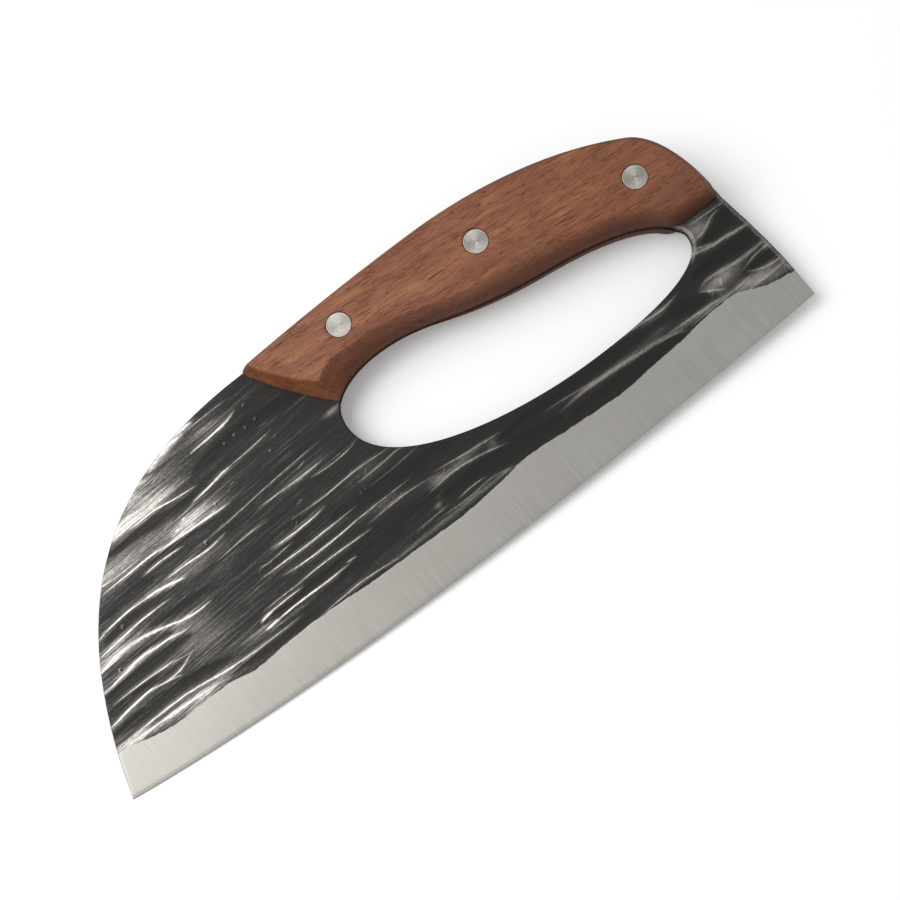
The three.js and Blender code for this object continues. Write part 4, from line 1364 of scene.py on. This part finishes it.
def scale_piece(name, stands_for, rear_bevel, side):
    """One scale with its three stepped holes."""
    mesh = solid_mesh(name, turned_over(scale_grids(rear_bevel), side))
    piece = new_piece(name, mesh, wood, "wood", stands_for)
    head_hole, seat = HEAD_DIAMETER / 2 + HEAD_PLAY, HEAD_SEAT - HEAD_PLAY
    top = HANDLE_THICKNESS / 2 + CUTTER_OVERRUN
    profile = [(0, 0), (tube_hole, 0), (tube_hole, seat), (head_hole, seat), (head_hole, top), (0, top)]
    cut(piece, turned_over([turned(profile, centre) for centre in rivet_centres.values()], side))
    store(piece.data, "from_spine", from_spine(piece.data))


scale_piece("rosewood_scale_front", "scale_front", FINGER_BEVEL, 1)
scale_piece("rosewood_scale_back", "scale_back", BACK_REAR_BEVEL, -1)

# %% [markdown]
# ## Rivets
# Cutler's rivets come in two halves: a solid shank with a flat head goes into a tube with a flat head.
# The heads are faced on a lathe, which leaves fine rings and makes each head glint in two opposite
# wedges. The rings are real grooves, 0.012 mm deep and drawn 0.5 mm apart, coarser than a lathe's
# feed, so that they show. The wedges need the surface's own direction, so each half carries a UV map:
# the angle across and the radius up.

# %% Rivet shapes
SHANK_DIAMETER = 3.0
SHANK_END_GAP = 0.6
EDGE_BREAK = 0.25
RING_SPACING = 0.5
RING_DEPTH = 0.012
RING_POINTS = 64


def broken_edge(radius, height, steps=5):
    """Quarter round between a head's side and its face."""
    angle = np.linspace(0, np.pi / 2, steps)
    return [(radius - EDGE_BREAK * (1 - np.cos(a)), height - EDGE_BREAK * (1 - np.sin(a))) for a in angle]


def faced(radius, height):
    """A head's face from its rim to its middle, with turned rings as a cosine of the radius. They run
    out in the innermost millimetre."""
    places = np.linspace(radius - EDGE_BREAK, 0, RING_POINTS)[1:]
    rings = RING_DEPTH / 2 * (np.cos(2 * np.pi * places / RING_SPACING) - 1)
    return [(r, height + ring * min(1, r)) for r, ring in zip(places, rings)]


def head_profile():
    """The head of a half from its underside up over its rim to its middle."""
    head = HEAD_DIAMETER / 2
    return [(head, HEAD_SEAT), *broken_edge(head, HEAD_OUTSIDE), *faced(head, HEAD_OUTSIDE)]


def male_profile():
    """Half section of the half with the shank, from the shank's tip up to the head's middle."""
    shank, tip = SHANK_DIAMETER / 2, SHANK_END_GAP - HEAD_SEAT
    return [(0, tip), (shank, tip), (shank, HEAD_SEAT), *head_profile()]


def female_profile():
    """Half section of the half with the tube, which is drawn with its head up too."""
    tube, bore, mouth = TUBE_DIAMETER / 2, SHANK_DIAMETER / 2 + RIVET_PLAY, SHANK_END_GAP - HEAD_SEAT
    return [(0, HEAD_SEAT), (bore, HEAD_SEAT), (bore, mouth), (tube, mouth), (tube, HEAD_SEAT),
            *head_profile()]


def read(items, name):
    """One whole number of every item as an array."""
    values = np.empty(len(items), int)
    items.foreach_get(name, values)
    return values


def ring_map(mesh, centre):
    """UV map with the angle, in turns, across and the radius in millimetres up. A face over the place
    where the turns start again follows its first corner."""
    away = drawn(mesh)[read(mesh.loops, "vertex_index"), :2] - centre
    angle = np.arctan2(away[:, 1], away[:, 0]) / (2 * np.pi) + 0.5
    first, count = read(mesh.polygons, "loop_start"), read(mesh.polygons, "loop_total")
    angle += np.rint(np.repeat(angle[first], count) - angle)
    uv = np.column_stack([angle, np.hypot(*away.T)])
    mesh.uv_layers.new(name="rings").data.foreach_set("uv", uv.ravel().astype(np.float32))


# %% [markdown]
# ## Faced stainless steel
# The rivets are stainless steel, turned and left as the tool faced them: a pale grey metal whose fine
# rings spread every reflection across them. That is anisotropy along the rings, and fine noise over
# the radius varies the grey from ring to ring.

# %% Rivet material
# Marks in a whole turn and in a millimetre of radius.
MARKS = (6.0, 5.0, 1.0)
MARK_COLOURS = [(0.3, "#7a7772"), (0.7, "#9f9c97")]
MARK_RELIEF = 0.03 * MM


def faced_steel():
    """Stainless steel with concentric turning marks."""
    material, node = new_material("faced_stainless_steel")
    spread = node("Mapping", node("UVMap", uv_map="rings"), inputs={"Scale": MARKS})
    marks = node("TexNoise", spread, inputs={"Scale": 1.0, "Detail": 4.0})
    metal = node("BsdfPrincipled", inputs={
        "Metallic": 1.0, "Anisotropic": 0.85, "Roughness": 0.34,
        "Base Color": node("ValToRGB", marks, stops=MARK_COLOURS),
        "Tangent": node("Tangent", direction_type="UV_MAP", uv_map="rings"),
        "Normal": node("Bump", inputs={"Strength": 0.4, "Distance": MARK_RELIEF, "Height": marks}),
    })
    node("OutputMaterial", metal, out=None)
    return material


stainless = faced_steel()
print("material:", stainless.name, "with", len(stainless.node_tree.nodes), "nodes")

# %% [markdown]
# ## The six halves
# Each half is its section turned round the rivet's centre. The female half is drawn with its head up
# too and is then turned over, so its head lies in the back scale.

# %% Rivet pieces
for spot, centre in rivet_centres.items():
    for half, profile, side in (("male", male_profile(), 1), ("female", female_profile(), -1)):
        name = "rivet_%s_%s" % (spot, half)
        mesh = solid_mesh("turned_" + name, turned_over([turned(profile, centre)], side))
        ring_map(mesh, centre)
        new_piece("turned_" + name, mesh, stainless, "rivet_steel", name)

# %% [markdown]
# ## The floor and the light
# The knife lies on a plain white sweep. The floor is pale and adds a little light of its own to what
# the camera, mirrors and glass see of it, so it comes out white and still keeps the knife's shadow.
# One large soft box stands beyond the spine, over the nose, so polished steel shines towards the nose.

# %% Floor, lamp and world
FLOOR_SIZE = 6.0
FLOOR_GLOW = 0.145
SKY_LIGHT = 0.55
# The lamp's place in millimetres of the drawing, its width in metres and its power in watts.
KEY_PLACE = [-223, 392, 751]
KEY_SIZE = 0.72
KEY_POWER = 5.75


def seen_directly(node):
    """1 for camera, glossy and transmission rays and 0 for the rays that light other things."""
    rays = node("LightPath", out=None)
    either = node("MAXIMUM", rays["Is Camera Ray"], rays["Is Glossy Ray"])
    return node("MAXIMUM", either, rays["Is Transmission Ray"])


def white_sweep():
    """Matt white paper that glows a little towards the camera."""
    material, node = new_material("white_paper_sweep")
    glow = node("Emission", "#ffffff", node("MULTIPLY", seen_directly(node), FLOOR_GLOW))
    node("OutputMaterial", node("AddShader", node("BsdfDiffuse", "#f4f4f4"), glow), out=None)
    return material


def aimed(name, data, place, target, roll=0.0):
    """A lamp or camera that stands at a place, looks at a target and is rolled by some degrees."""
    thing = placed(name, data)
    view = Vector((target - place).tolist()).to_track_quat("-Z", "Y").to_matrix().to_4x4()
    thing.matrix_world = Matrix.Translation(place) @ view @ Matrix.Rotation(np.radians(roll), 4, "Z")
    return thing


corner_signs = np.array([(-1, -1, 0), (1, -1, 0), (1, 1, 0), (-1, 1, 0)])
floor_mesh = bpy.data.meshes.new("floor")
floor_mesh.from_pydata((corner_signs * FLOOR_SIZE / 2).tolist(), [], [(0, 1, 2, 3)])
floor_mesh.materials.append(white_sweep())
placed("floor", floor_mesh)

world = bpy.data.worlds.new("studio")
bpy.context.scene.world = world
world.use_nodes = True
world.node_tree.nodes.clear()
node = partial(add, world.node_tree)
lighting, seen = (node("Background", "#ffffff", strength) for strength in (SKY_LIGHT, 1.0))
node("OutputWorld", node("MixShader", seen_directly(node), lighting, seen), out=None)

light = bpy.data.lights.new("key_softbox", "AREA")
light.shape = "SQUARE"
light.size = KEY_SIZE
light.energy = KEY_POWER
key_lamp = aimed("key_softbox", light, lay(KEY_PLACE), np.zeros(3))
print("lamp: a soft box over the nose and the spine at", [round(c, 2) for c in key_lamp.location])

# %% [markdown]
# ## The camera
# The camera's place, aim and roll were worked out from the photograph in the flat drawing's own frame,
# so they are laid on the table like every other point.

# %% Camera
CAMERA_PLACE = [108.84, -115.77, 635.86]
CAMERA_AIM = [137.528, 28.197, 0]
CAMERA_ROLL = -25.4256
# The lens and the width of the sensor, in millimetres.
LENS = 86.36
SENSOR = 36.0

camera_data = bpy.data.cameras.new("camera")
camera_data.lens = LENS
camera_data.sensor_width = SENSOR
camera = aimed("camera", camera_data, lay(CAMERA_PLACE), lay(CAMERA_AIM), CAMERA_ROLL)
bpy.context.scene.camera = camera
bpy.context.scene.view_settings.view_transform = "Standard"
print("camera at", [round(c, 3) for c in camera.location])
